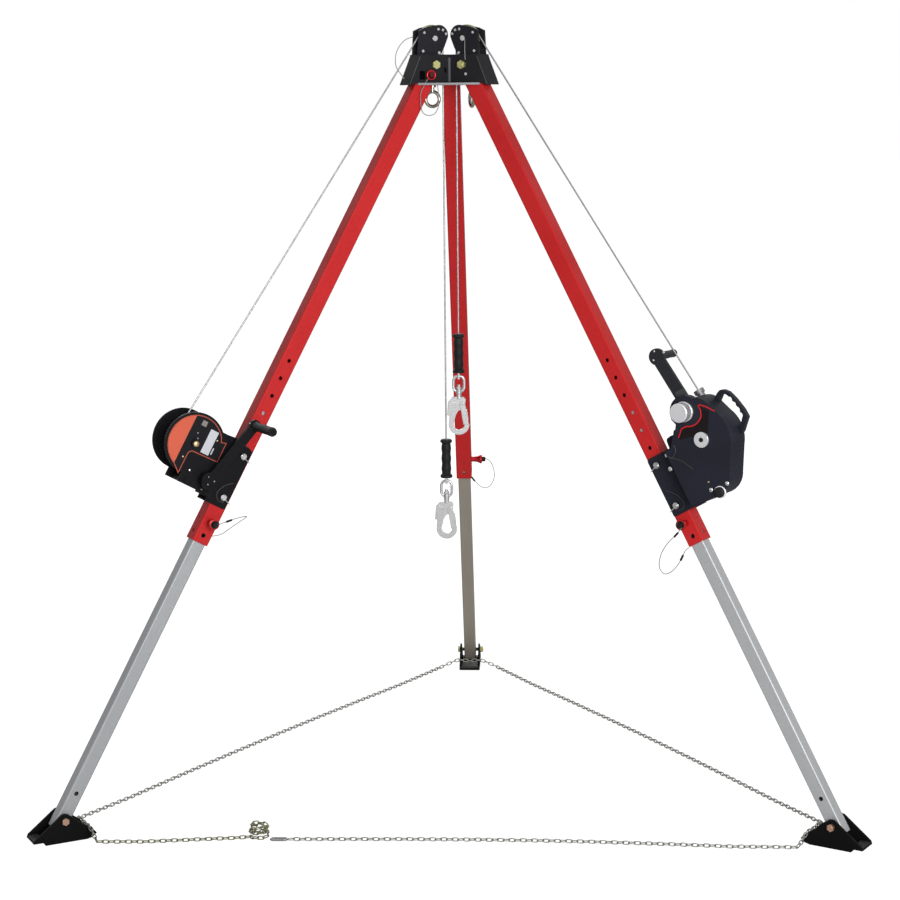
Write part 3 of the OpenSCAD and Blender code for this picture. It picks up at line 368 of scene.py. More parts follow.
shadedBoltSteel = makeFinish("shadedBoltSteel", {
    "colour": (0.05, 0.05, 0.05), "shade": (0.03, 0.03, 0.03), "rough": 0.4, "metal": 0.7, "broad": 60.0})
ropeSteel = makeFinish("ropeSteel", {
    "colour": (0.36, 0.37, 0.38), "shade": (0.26, 0.27, 0.28), "rough": 0.40, "metal": 0.9,
    "fine": 2500.0, "broad": 150.0, "bump": 0.1})
gripRubber = makeFinish("gripRubber", {
    "colour": (0.011, 0.011, 0.011), "shade": (0.007, 0.007, 0.007), "rough": 0.55, "specular": 0.14,
    "fine": 3000.0, "bump": 0.2})
springBlue = makeFinish("springBlue", {
    "colour": (0.20, 0.21, 0.24), "shade": (0.14, 0.15, 0.18), "rough": 0.35, "metal": 1.0})
brightAlloy = makeFinish("brightAlloy", {
    "colour": (0.78, 0.78, 0.80), "shade": (0.70, 0.70, 0.72), "rough": 0.34, "metal": 0.7, "broad": 30.0,
    "along": legAlong(1), "lineMix": 0.25, "bump": 0.04, "round": 0.0015})
chainZinc = makeFinish("chainZinc", {
    "colour": (0.30, 0.30, 0.28), "shade": (0.19, 0.19, 0.17), "rough": 0.40, "metal": 0.9,
    "broad": 110.0, "fine": 2000.0, "bump": 0.12})
chainOlive = makeFinish("chainOlive", {
    "colour": (0.22, 0.22, 0.14), "shade": (0.13, 0.13, 0.07), "rough": 0.42, "metal": 0.9,
    "broad": 110.0, "fine": 2000.0, "bump": 0.12})
labelRed = makeFinish("labelRed", {
    "colour": (0.42, 0.075, 0.045), "rough": 0.45, "bump": 0.03, "specular": 0.2})
labelOrange = makeFinish("labelOrange", {
    "colour": (0.55, 0.096, 0.050), "shade": (0.51, 0.088, 0.045), "rough": 0.45, "bump": 0.03,
    "specular": 0.2})
labelDark = makeFinish("labelDark", {
    "colour": (0.012, 0.012, 0.014), "rough": 0.4, "bump": 0.03, "specular": 0.05})
stripeRed = makeFinish("stripeRed", {
    "colour": (0.50, 0.014, 0.016), "rough": 0.45, "bump": 0.03, "specular": 0.15})
armLight = makeFinish("armLight", {
    "colour": (0.050, 0.051, 0.056), "rough": 0.42, "bump": 0.08, "specular": 0.15})
labelBrown = makeFinish("labelBrown", {
    "colour": (0.009, 0.006, 0.007), "rough": 0.4, "bump": 0.03, "specular": 0.1})
labelPale = makeFinish("labelPale", {
    "colour": (0.20, 0.19, 0.18), "rough": 0.5, "bump": 0.03, "specular": 0.2})
labelWhite = makeFinish("labelWhite", {
    "colour": (0.50, 0.51, 0.55), "shade": (0.46, 0.47, 0.51), "rough": 0.5, "bump": 0.03,
    "specular": 0.2})
wireCoat = makeFinish("wireCoat", {
    "colour": (0.24, 0.24, 0.23), "shade": (0.17, 0.17, 0.165), "rough": 0.45, "metal": 0.4,
    "fine": 3000.0, "bump": 0.1})
ferruleBlack = makeFinish("ferruleBlack", {
    "colour": (0.009, 0.009, 0.009), "rough": 0.45, "specular": 0.15})

nodeFinish = {"head_frame": headBlack, "base_plate": plateGrey, "eye_bolts": stainless,
              "head_fasteners": yellowZinc, "pulley_cheeks": cheekBlack, "winch_bracket": winchBlack,
              "winch_frame": winchBlack, "winch_drum": winchBlack, "winch_gear": winchBlack,
              "winch_pinion": drumSteel, "winch_crank": winchBlack, "winch_grip": gripRubber,
              "winch_fasteners": winchBlack, "srl_bracket": caseBlack, "srl_housing": caseBlack,
              "srl_rear_cover": caseBlack, "srl_front_cover": caseBlack, "srl_spool": drumSteel,
              "srl_spring": springBlue, "srl_crank": armGrey, "srl_knob": brightAlloy,
              "srl_grip": armGrey, "srl_handle": caseBlack, "srl_nozzle": drumSteel,
              "srl_fasteners": caseBlack, "chain_link": drumSteel}
for k, side in enumerate(legSides):
    boltCoat = yellowZinc if side == "rear" else copperZinc
    nodeFinish.update({"upper_leg_" + side: redCoat, "lower_leg_" + side: tubeSilver[k],
                       "foot_" + side: footBlack, "foot_bolt_" + side: boltCoat,
                       "leg_pin_" + side: redAnodised, "lock_pin_" + side: redAnodised})
for side in legSides[:2]:
    nodeFinish["sheave_" + side] = sheaveGold
for line in lines:
    nodeFinish[line + "_hook_grip"] = gripRubber
    for part in ("link", "body", "gate", "lever"):
        nodeFinish[line + "_hook_" + part] = hookSteel
for name, mat in nodeFinish.items():
    nodes[name].data.materials.clear()
    nodes[name].data.materials.append(mat)
bpy.context.view_layer.update()


def paint(name, mat, test):  # the faces of a solid that pass the test get another finish
    obj = nodes[name]
    obj.data.materials.append(mat)
    last = len(obj.data.materials) - 1
    turned = obj.matrix_world.to_3x3()
    for face in obj.data.polygons:
        if test(obj.matrix_world @ face.center, turned @ face.normal):
            face.material_index = last


def onLeg(k, p):  # a point in the leg's own measures: off the leg, sideways, up, in mm
    return legMatrix(k).inverted() @ p


# where on a solid another finish begins, in mm
begins = {"deckScrews": 1, "pinHalf": 12, "pinHead": 34.4, "disc": -70, "lockShank": 20, "lockCore": 40.6,
          "knobEnd": 59.5, "boltShank": 28.5, "toe": 30, "facingUp": 0.6}


def isPinHead(k, p):
    spot = onLeg(k, p)
    return abs(spot.x) < begins["pinHalf"] and abs(spot.y) > begins["pinHead"]


paint("head_fasteners", screwZinc, lambda p, up: p.z > (deckZ + begins["deckScrews"]) * mm)
paint("winch_fasteners", screwZinc, lambda p, up: isPinHead(0, p))
paint("srl_fasteners", screwZinc, lambda p, up: isPinHead(1, p))
paint("srl_fasteners", brightAlloy, lambda p, up: onLeg(1, p).y < begins["disc"])
for k, side in enumerate(legSides):
    paint("lock_pin_" + side, screwZinc, lambda p, up: onLeg(k, p).y < begins["lockShank"])
    # the centre of the lock pin's head is painted dark red: painted shade inside the ring
    paint("lock_pin_" + side, paintedShadowRed, lambda p, up: onLeg(k, p).y > begins["lockCore"])
    paint("leg_pin_" + side, ferruleBlack, lambda p, up: abs(onLeg(k, p).y) > begins["knobEnd"])
    # the foot bolt's shank between the plates is painted dark: painted shade
    paint("foot_bolt_" + side, shadedBoltSteel, lambda p, up: abs(onLeg(k, p).y) < begins["boltShank"])
    # faces of the foot that face up and lie low are lighter grey
    paint("foot_" + side, footUpFaceGrey, lambda p, up: up.z > begins["facingUp"] and p.z < begins["toe"] * mm)
print("finishes on", len(nodeFinish), "nodes")


# mesh helpers
def addPiece(name, verts, faces, mat, body=None, slot=None, smooth=True):
    mesh = bpy.data.meshes.new(name)
    mesh.from_pydata([tuple(v) for v in verts], [], faces)
    bm = bmesh.new()
    bm.from_mesh(mesh)
    bmesh.ops.recalc_face_normals(bm, faces=bm.faces)
    bm.to_mesh(mesh)
    bm.free()
    mesh.materials.append(mat)
    if smooth:
        mesh.shade_smooth()
        mesh.set_sharp_from_angle(angle=math.radians(55))
    obj = bpy.data.objects.new(name, mesh)
    bpy.context.scene.collection.objects.link(obj)
    if body:
        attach(obj, body)
    return obj


def carriedFrames(points, closed=False):
    n = len(points)
    ways = []
    for i in range(n):
        a = points[(i - 1) % n] if closed or i else points[0]
        b = points[(i + 1) % n] if closed or i < n - 1 else points[-1]
        ways.append((b - a).normalized())
    side = ways[0].orthogonal().normalized()
    frames = []
    for i in range(n):
        if i:
            side = (side - ways[i] * side.dot(ways[i])).normalized()
        frames.append((side, ways[i].cross(side)))
    return frames


def sweep(points, radius, sides, lobes=0, lobeDepth=0.0, lay=0.03, closed=False):
    frames = carriedFrames(points, closed)
    verts, faces, run = [], [], 0.0
    n = len(points)
    for i, p in enumerate(points):
        if i:
            run += (p - points[i - 1]).length
        for j in range(sides):
            a = 2 * math.pi * j / sides
            r = radius
            if lobes:  # strands laid round the rope
                r *= 1 - lobeDepth * 0.5 * (1 - math.cos(lobes * (a - 2 * math.pi * run / lay)))
            verts.append(p + frames[i][0] * (r * math.cos(a)) + frames[i][1] * (r * math.sin(a)))
    for i in range(n if closed else n - 1):
        for j in range(sides):
            a, b = i * sides + j, i * sides + (j + 1) % sides
            c, d = ((i + 1) % n) * sides + (j + 1) % sides, ((i + 1) % n) * sides + j
            faces.append((a, b, c, d))
    if not closed:
        faces += [tuple(range(sides - 1, -1, -1)), tuple(range((n - 1) * sides, n * sides))]
    return verts, faces


def evenly(points, step):  # the same line with points a fixed step apart
    out, left = [points[0].copy()], step
    for a, b in zip(points, points[1:]):
        d = (b - a).length
        while left <= d:
            a = a + (b - a) * (left / d)
            out.append(a.copy())
            d = (b - a).length
            left = step
        left -= d
    if (out[-1] - points[-1]).length > 0.2 * step:
        out.append(points[-1].copy())
    else:
        out[-1] = points[-1].copy()
    return out


def smoothLine(points, per):  # Catmull-Rom through the points
    out = []
    n = len(points)
    for i in range(n - 1):
        p0, p1, p2, p3 = points[max(i - 1, 0)], points[i], points[i + 1], points[min(i + 2, n - 1)]
        for j in range(per):
            t = j / per
            out.append(0.5 * (2 * p1 + (p2 - p0) * t + (2 * p0 - 5 * p1 + 4 * p2 - p3) * t * t
                              + (3 * p1 - p0 - 3 * p2 + p3) * t ** 3))
    return out + [points[-1].copy()]


def lathe(profile, m, segments):  # profile of (radius, height) pairs, turned about m's local Z
    verts, faces, rows = [], [], []
    turns = [2 * math.pi * j / segments for j in range(segments)]
    for r, h in profile:
        if r < 1e-6:
            rows.append([len(verts)])
            verts.append(m @ Vector((0, 0, h)))
        else:
            rows.append(list(range(len(verts), len(verts) + segments)))
            verts += [m @ Vector((r * math.cos(a), r * math.sin(a), h)) for a in turns]
    for a, b in zip(rows, rows[1:]):
        for j in range(segments):
            k = (j + 1) % segments
            q = [a[j % len(a)], a[k % len(a)], b[k % len(b)], b[j % len(b)]]
            q = [v for i, v in enumerate(q) if v not in q[:i]]
            if len(q) > 2:
                faces.append(tuple(q))
    return verts, faces


def sideways(k, n, t, s, flip=1):  # a turning axis along a leg's sideways direction, in mm
    return legMatrix(k) @ Matrix.Translation((n, t, s)) @ Matrix.Rotation(-flip * math.pi / 2, 4, "X")


def lineLength(points):
    return sum((b - a).length for a, b in zip(points, points[1:]))


# wire ropes: the run from the drum over the sheave, the drop, and the length that goes with the hook
ropes = {"diameter": 0.005, "strands": 6, "lobe": 0.2, "lay": 0.034, "step": 0.0035, "sides": 18,
         "hidden": 0.82, "start": 0.004, "runSteps": 40, "overSteps": 24, "pathStep": 0.01,
         "spare": (0.66, 0.05), "foot": 0.02, "rise": 0.55, "sink": 4.0}  # sink is in mm
reels = [{"s": 1075.0, "n": 154.0, "r": 51.0, "t": 22.0}, {"s": 1077.0, "n": 172.0, "r": 40.0, "t": 0.0}]


def reelCentre(k):
    q = reels[k]
    return (footR - q["s"] * sinTilt + q["n"] * cosTilt,
            stance["boltZ"] + q["s"] * cosTilt + q["n"] * sinTilt)


def leaveAngle(k):
    c, q = reelCentre(k), reels[k]
    dx, dz = sheave["x"] - c[0], sheave["z"] - c[1]
    return math.atan2(dz, dx) - math.acos((q["r"] - sheave["r"]) / math.hypot(dx, dz))


def ropeRoute(k):
    c, q, a = reelCentre(k), reels[k], leaveAngle(k)
    p = (c[0] + q["r"] * math.cos(a), c[1] + q["r"] * math.sin(a))
    e = (sheave["x"] + sheave["r"] * math.cos(a), sheave["z"] + sheave["r"] * math.sin(a))
    begin, n, m = ropes["start"], ropes["runSteps"], ropes["overSteps"]
    run = [bayPoint(k, p[0] + (e[0] - p[0]) * u, q["t"] * (1 - u), p[1] + (e[1] - p[1]) * u)
           for u in [begin + (1 - begin) * i / n for i in range(n + 1)]]
    over = [bayPoint(k, sheave["x"] + sheave["r"] * math.cos(b), 0, sheave["z"] + sheave["r"] * math.sin(b))
            for b in [a + (math.pi - a) * i / m for i in range(1, m + 1)]]
    drop = [bayPoint(k, lineR, 0, z) for z in (sheave["z"], hookTop[k] - ropes["sink"])]
    return run, over, drop


def strandRope(name, points, scale=1.0):
    line, r = evenly(points, ropes["step"]), ropes["diameter"] / 2 * scale
    verts, faces = sweep(line, r, ropes["sides"], ropes["strands"], ropes["lobe"], ropes["lay"])
    return addPiece(name, verts, faces, ropeSteel, slot="rope_steel")


for k, line in enumerate(lines):
    run, over, drop = ropeRoute(k)
    top = run + over
    upper = strandRope(line + "RopeRun", top)
    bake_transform(upper)
    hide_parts(line + "_cable")
    [tuple(p) for p in evenly(top, ropes["pathStep"])]
    lower = strandRope(line + "RopeDrop", drop)
    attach(lower, "head")
    [tuple(p) for p in evenly(drop, ropes["pathStep"])]
    ends = [drop[-1] + Vector((0, 0, h)) for h in (ropes["spare"][k], -ropes["foot"])]
    tail = strandRope(line + "RopeTail", ends, ropes["hidden"])
    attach(tail, line + "_line")
    if line == "srl":  # the lifeline's hook rises; its drop gets a mesh of its own
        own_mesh(lower)
print("ropes run")

# rope wound on the winch drum: one unbroken layer
winding = {"turns": 10, "pitch": 5.6, "rings": 72, "sides": 12, "lobe": 0.16}


def windRope():
    c, q, a0 = reelCentre(0), reels[0], leaveAngle(0)
    steps = winding["turns"] * winding["rings"]
    pts = []
    for i in range(steps + 1):
        back = (steps - i) / winding["rings"]
        a = a0 - back * 2 * math.pi
        aside = q["t"] - back * winding["pitch"]
        pts.append(bayPoint(0, c[0] + q["r"] * math.cos(a), aside, c[1] + q["r"] * math.sin(a)))
    r = ropes["diameter"] / 2
    verts, faces = sweep(pts, r, winding["sides"], ropes["strands"], winding["lobe"], ropes["lay"])
    coil = addPiece("winchRopeCoil", verts, faces, ropeSteel, "winch_reel", "rope_steel")
    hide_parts("winch_winding")


windRope()
print("drum wound")

# foot chain: real links along the route of the solid
chain = {"wire": 3.2, "pitch": 15.4, "width": 12.6, "sides": 7, "arc": 6, "lie": -8, "stand": 82,
         "low": 6.5, "in": 66.0, "over": 38.8, "lead": (100, 12), "bows": (-28, 20, 20), "bowSteps": 8,
         "link": (-430, -614), "linkEnd": 1.4, "join": (-570, -606), "joinSteps": 3}
heap = {"x": -79.4, "y": 15, "z": 1, "wide": 25, "deep": 18, "high": 32, "turn": 15, "steps": 72,
        "loosen": 4}


def chainRoute():
    z0, over = chain["low"], chain["over"]
    aside, high = chain["lead"]

    def bp(k, t, z):
        return bayPoint(k, footR - chain["in"], t, z)

    def overFoot(k):
        half = [(31, over), (49, over - 3), (aside, high)]
        return [bp(k, t, z) for t, z in [(-t, z) for t, z in half[::-1]] + [(0, over - 5)] + half]

    def floorRun(a, b, sag):
        d = Vector((b.y - a.y, a.x - b.x, 0)).normalized()
        out = []
        for i in range(1, chain["bowSteps"]):
            u = i / chain["bowSteps"]
            p = a + (b - a) * u
            out.append(Vector((p.x, p.y, z0 * mm)) + d * (sag * mm * math.sin(math.pi * u)))
        return out

    link = freePoint(*chain["link"], z0)
    first, p = [link + Vector((chain["linkEnd"] * mm, 0, 0))], link
    for k, bow in zip((1, 2, 0), chain["bows"]):  # right, rear and left foot
        first += floorRun(p, bp(k, -aside, high), bow) + overFoot(k)
        p = bp(k, aside, high)
    q, n = freePoint(*chain["join"], z0), chain["joinSteps"]
    join = [Vector((p.x + (q.x - p.x) * i / n, p.y + (q.y - p.y) * i / n, z0 * mm))
            for i in range(1, n + 1)]
    tail = []
    for i in range(heap["steps"] + 1):  # rising rings, each a little off the last
        a, g = math.radians(heap["turn"] * i), i / heap["steps"]
        loose = Vector((5 * math.sin(3.1 * a), 6 * math.cos(1.7 * a), 3 * math.sin(2.3 * a) + 3))
        ring = Vector((heap["x"] - heap["wide"] * math.cos(a), heap["y"] - heap["deep"] * math.sin(a),
                       heap["z"] + heap["high"] * g))
        tail.append(link + (ring + loose * min(1, heap["loosen"] * g)) * mm)
    return first, join + tail


def chainLinks(route, oliveFrom):
    w, pitch = chain["wire"] * mm, chain["pitch"] * mm
    half = (chain["width"] * mm - w) / 2
    straight = (pitch + w - 2 * half) / 2
    ring = []
    for i in range(chain["arc"] + 1):
        a = -math.pi / 2 + math.pi * i / chain["arc"]
        ring.append((straight + half * math.cos(a), half * math.sin(a)))
    for i in range(chain["arc"] + 1):
        a = math.pi / 2 + math.pi * i / chain["arc"]
        ring.append((-straight + half * math.cos(a), half * math.sin(a)))
    line = evenly(route, pitch)
    verts, faces, plain, run = [], [], 0, 0.0
    for i, (a, b) in enumerate(zip(line, line[1:])):
        way = (b - a).normalized()
        flat = way.cross(Vector((0, 0, 1))).normalized()
        turn = math.radians(chain["stand"] if i % 2 else chain["lie"])  # one link stands, the next lies
        u = flat * math.cos(turn) + flat.cross(way) * math.sin(turn)
        mid = (a + b) / 2
        v, f = sweep([mid + way * x + u * y for x, y in ring], w / 2, chain["sides"], closed=True)
        faces += [tuple(q + len(verts) for q in face) for face in f]
        verts += v
        run += pitch
        plain = len(faces) if run < oliveFrom else plain
    return verts, faces, line, plain


firstRun, tailRun = chainRoute()
verts, faces, links, plainFaces = chainLinks(firstRun + tailRun, lineLength(firstRun))
footChain = addPiece("footChain", verts, faces, chainZinc, "head", "chain_zinc")
footChain.data.materials.append(chainOlive)
for face in footChain.data.polygons[plainFaces:]:
    face.material_index = 1
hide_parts("foot_chain")
print("chain of", len(links) - 1, "links")


# flat trim: the winch's label and the lifeline's stripe
def flatPiece(name, outline, k, t0, t1, mat, body):
    m, n = legMatrix(k), len(outline)
    verts = [m @ Vector((a, t, b)) for t in (t0, t1) for a, b in outline]
    faces = [tuple(range(n)), tuple(range(2 * n - 1, n - 1, -1))]
    faces += [(i, (i + 1) % n, n + (i + 1) % n, n + i) for i in range(n)]
    return addPiece(name, verts, faces, mat, body, smooth=False)


def inset(outline, d):
    n = len(outline)
    area = sum(a[0] * b[1] - b[0] * a[1] for a, b in zip(outline, outline[1:] + outline[:1]))
    g = 1 if area > 0 else -1
    out = []
    for i in range(n):
        p, q, r = (Vector(outline[(i + j) % n]) for j in (-1, 0, 1))
        u, v = (q - p).normalized(), (r - q).normalized()
        a, b = Vector((-u.y, u.x)) * g, Vector((-v.y, v.x)) * g
        out.append(tuple(q + (a + b) * (d / (1 + a.dot(b)))))
    return out


def keepBeyond(outline, n0):  # the part of an outline further off the leg than n0
    out = []
    for a, b in zip(outline, outline[1:] + outline[:1]):
        if a[0] >= n0:
            out.append(a)
        if (a[0] >= n0) != (b[0] >= n0):
            u = (n0 - a[0]) / (b[0] - a[0])
            out.append((n0, a[1] + (b[1] - a[1]) * u))
    return out


def band(points, width):
    left, right = [], []
    for i, p in enumerate(points):
        a, b = Vector(points[max(i - 1, 0)]), Vector(points[min(i + 1, len(points) - 1)])
        d = (b - a).normalized()
        side = Vector((-d.y, d.x)) * (width / 2)
        left.append(tuple(Vector(p) + side))
        right.append(tuple(Vector(p) - side))
    return left + right[::-1]


def arcOf(centre, r, a0, a1, steps):  # points of an arc, angles in degrees
    turns = [math.radians(a0 + (a1 - a0) * i / steps) for i in range(steps + 1)]
    return [(centre[0] + r * math.cos(a), centre[1] + r * math.sin(a)) for a in turns]


def boxOf(n0, n1, s0, s1):
    return [(n0, s0), (n1, s0), (n1, s1), (n0, s1)]


label = {"axle": (154, 1075), "r": 79, "face": 52.0, "rim": 2.4, "split": 185,
         "corners": [(86, 1111), (71, 1115), (71, 1056)] + arcOf((148, 1041), 12, 96, -4, 5) + [(160, 982)],
         "plate": boxOf(105, 130, 1061, 1130), "slot": boxOf(97.5, 101, 1067, 1086),
         "square": boxOf(147, 162, 1128, 1143)}
label["outline"] = arcOf(label["axle"], label["r"], -66, 144, 28) + label["corners"]
inner = inset(label["outline"], label["rim"])
labelParts = [("labelRim", label["outline"], 0.5, labelRed), ("labelPanel", inner, 0.9, labelDark),
              ("labelSegment", keepBeyond(inner, label["split"]), 1.2, labelOrange),
              ("labelPlate", label["plate"], 1.3, labelWhite),
              ("labelSlot", label["slot"], 1.3, labelWhite),
              ("labelSquare", label["square"], 1.3, labelPale)]
for name, shape, high, mat in labelParts:
    flatPiece(name, shape, 0, label["face"] + 0.05, label["face"] + high, mat, "left_leg")

stripe = {"line": [(119, 1111), (138, 1128)] + arcOf((178, 1162), 41, 236, 318, 9)
          + [(214, 1148), (214, 1163), (219, 1162), (234, 1149), (250, 1128)],
          "under": [(234, 1135), (204, 1086), (120, 1104)], "face": -72.0, "wide": 3.2}
flatPiece("stripePanel", stripe["line"][:-3] + stripe["under"], 1, stripe["face"] - 0.05,
          stripe["face"] - 0.5, labelBrown, "right_leg")
flatPiece("stripeRed", band(stripe["line"], stripe["wide"]), 1, stripe["face"] - 0.05,
          stripe["face"] - 0.9, stripeRed, "right_leg")
flatPiece("armShoe", boxOf(152, 183, 1196, 1227), 1, -41.05, -41.8, armLight, "srl_arm")
print("label and stripe on")


# small turned parts: rivets, screws, knobs
def addTurned(name, axes, profile, mat, body, segments=20):
    verts, faces = [], []
    for m in axes:
        v, f = lathe(profile, m, segments)
        faces += [tuple(i + len(verts) for i in q) for q in f]
        verts += v
    return addPiece(name, verts, faces, mat, body)


def dome(r, h):
    return [(0, -0.5), (r, -0.5), (r, 0.35 * h), (0.86 * r, 0.7 * h), (0.5 * r, 0.94 * h), (0, h)]


def touch(k, n, s, side, nearest, reach=220):  # how far sideways the solids reach at a spot of the leg
    m, graph = legMatrix(k), bpy.context.evaluated_depsgraph_get()
    start, middle = m @ Vector((n, side * reach, s)), m @ Vector((n, 0, s))
    way = (middle - start).normalized()
    hit, spot, *rest = bpy.context.scene.ray_cast(graph, start, way, distance=reach * mm)
    return onLeg(k, spot).y if hit else nearest


def spots(k, side, places, nearest):
    return [sideways(k, n, touch(k, n, s, side, nearest), s, side) for n, s in places]


trim = {"hubRivets": [(90, 1009), (71, 1005), (84, 990), (78, 971)],
        "endRivets": [(51, 1190), (31, 1200), (38, 1181)],
        "labelDots": [(160, 1104), (153, 1091)], "labelScrews": [(169, 1029), (99, 1109)],
        "winchScrew": [(135, 1004)], "armScrews": [(151, 1352), (174, 1337), (137, 1332)],
        "caseScrews": [(138, 946), (189, 942)], "clip": [(47, 1087)], "brass": [(141, 968)],
        "knob": [(160, 930)],
        "leftHoles": [(0, 1290), (0, 860)], "rightHoles": [(0, 1290), (0, 1128), (0, 860)]}
addTurned("hubRivets", spots(0, 1, trim["hubRivets"], 90), dome(2.8, 1.6), rivetDark, "winch_handle")
addTurned("endRivets", [sideways(0, n, 90, z) for n, z in trim["endRivets"]], dome(2.8, 1.6), rivetDark,
          "winch_handle")
addTurned("labelDots", spots(0, 1, trim["labelDots"], 53), dome(2.6, 0.8), rivetDark, "left_leg")
addTurned("labelScrews", spots(0, 1, trim["labelScrews"], 53), dome(2.8, 1.4), brassDome, "left_leg")
addTurned("winchScrew", spots(0, 1, trim["winchScrew"], 53), dome(3.6, 2.2), screwZinc, "left_leg")
addTurned("axleDome", [sideways(0, 154, 60.5, 1075)], dome(9, 6), brassDome, "left_leg", 28)
addTurned("armScrews", spots(1, -1, trim["armScrews"], -41), dome(3.0, 1.8), screwZinc, "srl_arm")
addTurned("caseScrews", spots(1, -1, trim["caseScrews"], -72), dome(6.2, 3.4), screwZinc, "right_leg")
longScrew = [(0, 0), (0, -20), (6.2, -20), (6.2, 1.5), (4, 3), (0, 3.4)]
addTurned("coverScrew", [sideways(1, 42, -48.5, 1049, -1)], longScrew, screwZinc, "right_leg")
addTurned("caseClip", spots(1, -1, trim["clip"], -45), [(0, -0.5), (6, -0.5), (6, 12), (5, 14), (0, 14)],
          screwZinc, "right_leg")
addTurned("caseBrass", spots(1, -1, trim["brass"], -72), dome(2.6, 1.6), brassDome, "right_leg")
knobSpot = spots(1, -1, trim["knob"], -72)
addTurned("caseKnobRing", knobSpot, [(0, -0.5), (17, -0.5), (17, 3), (15.5, 4), (0, 4)], brightAlloy,
          "right_leg", 32)
addTurned("caseKnob", knobSpot, [(0, 3), (14.5, 3), (14.5, 9), (13, 11), (0, 11.5)], gripRubber,
          "right_leg", 32)
# a flat black hexagon: painted shade where the disc's socket is
addTurned("discSocket", [sideways(1, 179, -78, 1077, -1)], [(0, -1), (7, -1), (7, 0.4), (0, 0.4)],
          ferruleBlack, "right_leg", 6)
for k, side in enumerate(legSides[:2]):  # black discs of painted shade where the holes of the lower tubes are seen through those of the upper ones
    places = spots(k, 1 - 2 * k, trim[side + "Holes"], 20 - 40 * k)
    addTurned(side + "TubeHoles", places, [(0, 0.03), (6.2, 0.03), (6.2, 0.15), (0, 0.15)], holeShadeBlack,
              side + "_shank")
folds = {"seamY": -38.6, "seamZ": (-76, -40, -9), "seamR": 4.2, "aside": 31.8, "top": (109.6, -6),
         "foot": (142.4, -54), "r": 0.8}
# a bead along the head's seam; its pale grey is a painted highlight
seam = [freePoint(0, folds["seamY"], deckZ + z) for z in folds["seamZ"]]
addPiece("headSeam", *sweep(seam, folds["seamR"] * mm, 12), foldHighlightGrey, "head")
for k in range(3):  # the folds where the bay walls meet the sloping rims, drawn as pale grey strips: a painted highlight
    for t in (-folds["aside"], folds["aside"]):
        fold = [bayPoint(k, folds["top"][0], t, deckZ + folds["top"][1]),
                bayPoint(k, folds["foot"][0], t, pivotZ + folds["foot"][1])]
        addPiece("headFold" + str(2 * k + (t > 0)), *sweep(fold, folds["r"] * mm, 8), foldHighlightGrey, "head")
wallFace = (32.02, 32.3)  # on the bay's front wall
openings = {"leftWindow": (0, 95, 112, 2043, 2067), "leftNotch": (0, 28, 34, 2062, 2076)}
for name, (k, r0, r1, z0, z1) in openings.items():  # black patches of painted shade for a window and a notch
    verts = [bayPoint(k, r, t, z) for t in wallFace for r, z in boxOf(r0, r1, z0, z1)]
    sides = [(i, (i + 1) % 4, 4 + (i + 1) % 4, 4 + i) for i in range(4)]
    addPiece(name, verts, [(0, 1, 2, 3), (7, 6, 5, 4)] + sides, holeShadeBlack, "head", smooth=False)
clips = {"spots": [(0, 36, 977.5), (0, 36, 1103), (1, -36, 954), (1, -36, 1076)], "wire": 1.3, "ring": 7.8,
         "tail": (-24.0, -9)}
for i, (k, t, z) in enumerate(clips["spots"]):  # a wire clip holds each bracket pin
    turn = [math.radians(a) for a in range(150, -151, -25)]
    hoop = [(clips["ring"] * math.cos(a), clips["ring"] * math.sin(a)) for a in turn] + [clips["tail"]]
    bent = smoothLine([legPoint(k, n, t, z + h) for n, h in hoop], 3)
    addPiece("pinClip" + str(i), *sweep(bent, clips["wire"] * mm, 8), screwZinc, legNames[k])
print("small parts on")

# pin lanyards: thin wire with black ferrules
lanyards = {"diameter": 0.0024, "ferrule": 0.0062, "long": 0.017, "per": 8}
wires = [("leftPinWire", "left_pin", "left_leg", [1],
          [(-625, -439, 843), (-598, -422, 850), (-579, -404, 854), (-555, -383, 855), (-572, -386, 842),
           (-598, -392, 825), (-624, -398, 808), (-649, -402, 803)]),
         ("rightPinWire", "right_pin", "right_leg", [1, 9],
          [(639, -449, 838), (625, -439, 816), (605, -421, 791), (588, -404, 758), (582, -395, 724),
           (588, -394, 705), (600, -398, 698), (618, -404, 708), (635, -408, 730), (643, -410, 746),
           (652, -411, 766), (663, -411, 775)]),
         ("rearPinWire", "rear_pin", "rear_leg", [8],
          [(72, 783, 820), (87, 785, 809), (98, 787, 784), (99, 788, 754), (88, 790, 730), (71, 792, 720),
           (52, 794, 726), (37, 795, 741), (30, 797, 748), (24, 799, 757)]),
         ("headWire", "head", None, [],
          [(-103, -38, 2162), (-126, -41, 2152), (-145, -46, 2127), (-151, -50, 2101), (-147, -54, 2076),
           (-126, -55, 2046)]),
         ("ringWire", "left_lock", "head", [],
          [(-59, -75, 2044), (-69, -79, 2027), (-79, -83, 2002), (-76, -90, 1960), (-65, -92, 1946),
           (-52, -91, 1944), (-39, -90, 1949), (-30, -87, 1965), (-28, -84, 1981), (-30, -79, 2015),
           (-32, -74, 2035)]),
         ("axleWire", "head", None, [], [(45, -55, 2154), (45, -61, 2124), (46, -65, 2097)])]
loops = {"clipWire": (1, -73.5, [(96, 1099), (94, 1084), (83, 1074), (74, 1070)]),
         "caseWire": (1, -73.5, [(67, 1078), (78, 1068), (97, 1052), (117, 1018)]),
         "lowWire": (1, -31.7, [(-9, 1003), (8, 989), (21, 969), (25, 951), (16, 939), (-1, 940)]),
         "winchWire": (0, 31.7, [(-8, 1025), (10, 1011), (21, 993), (23, 979), (11, 965), (-6, 965)])}


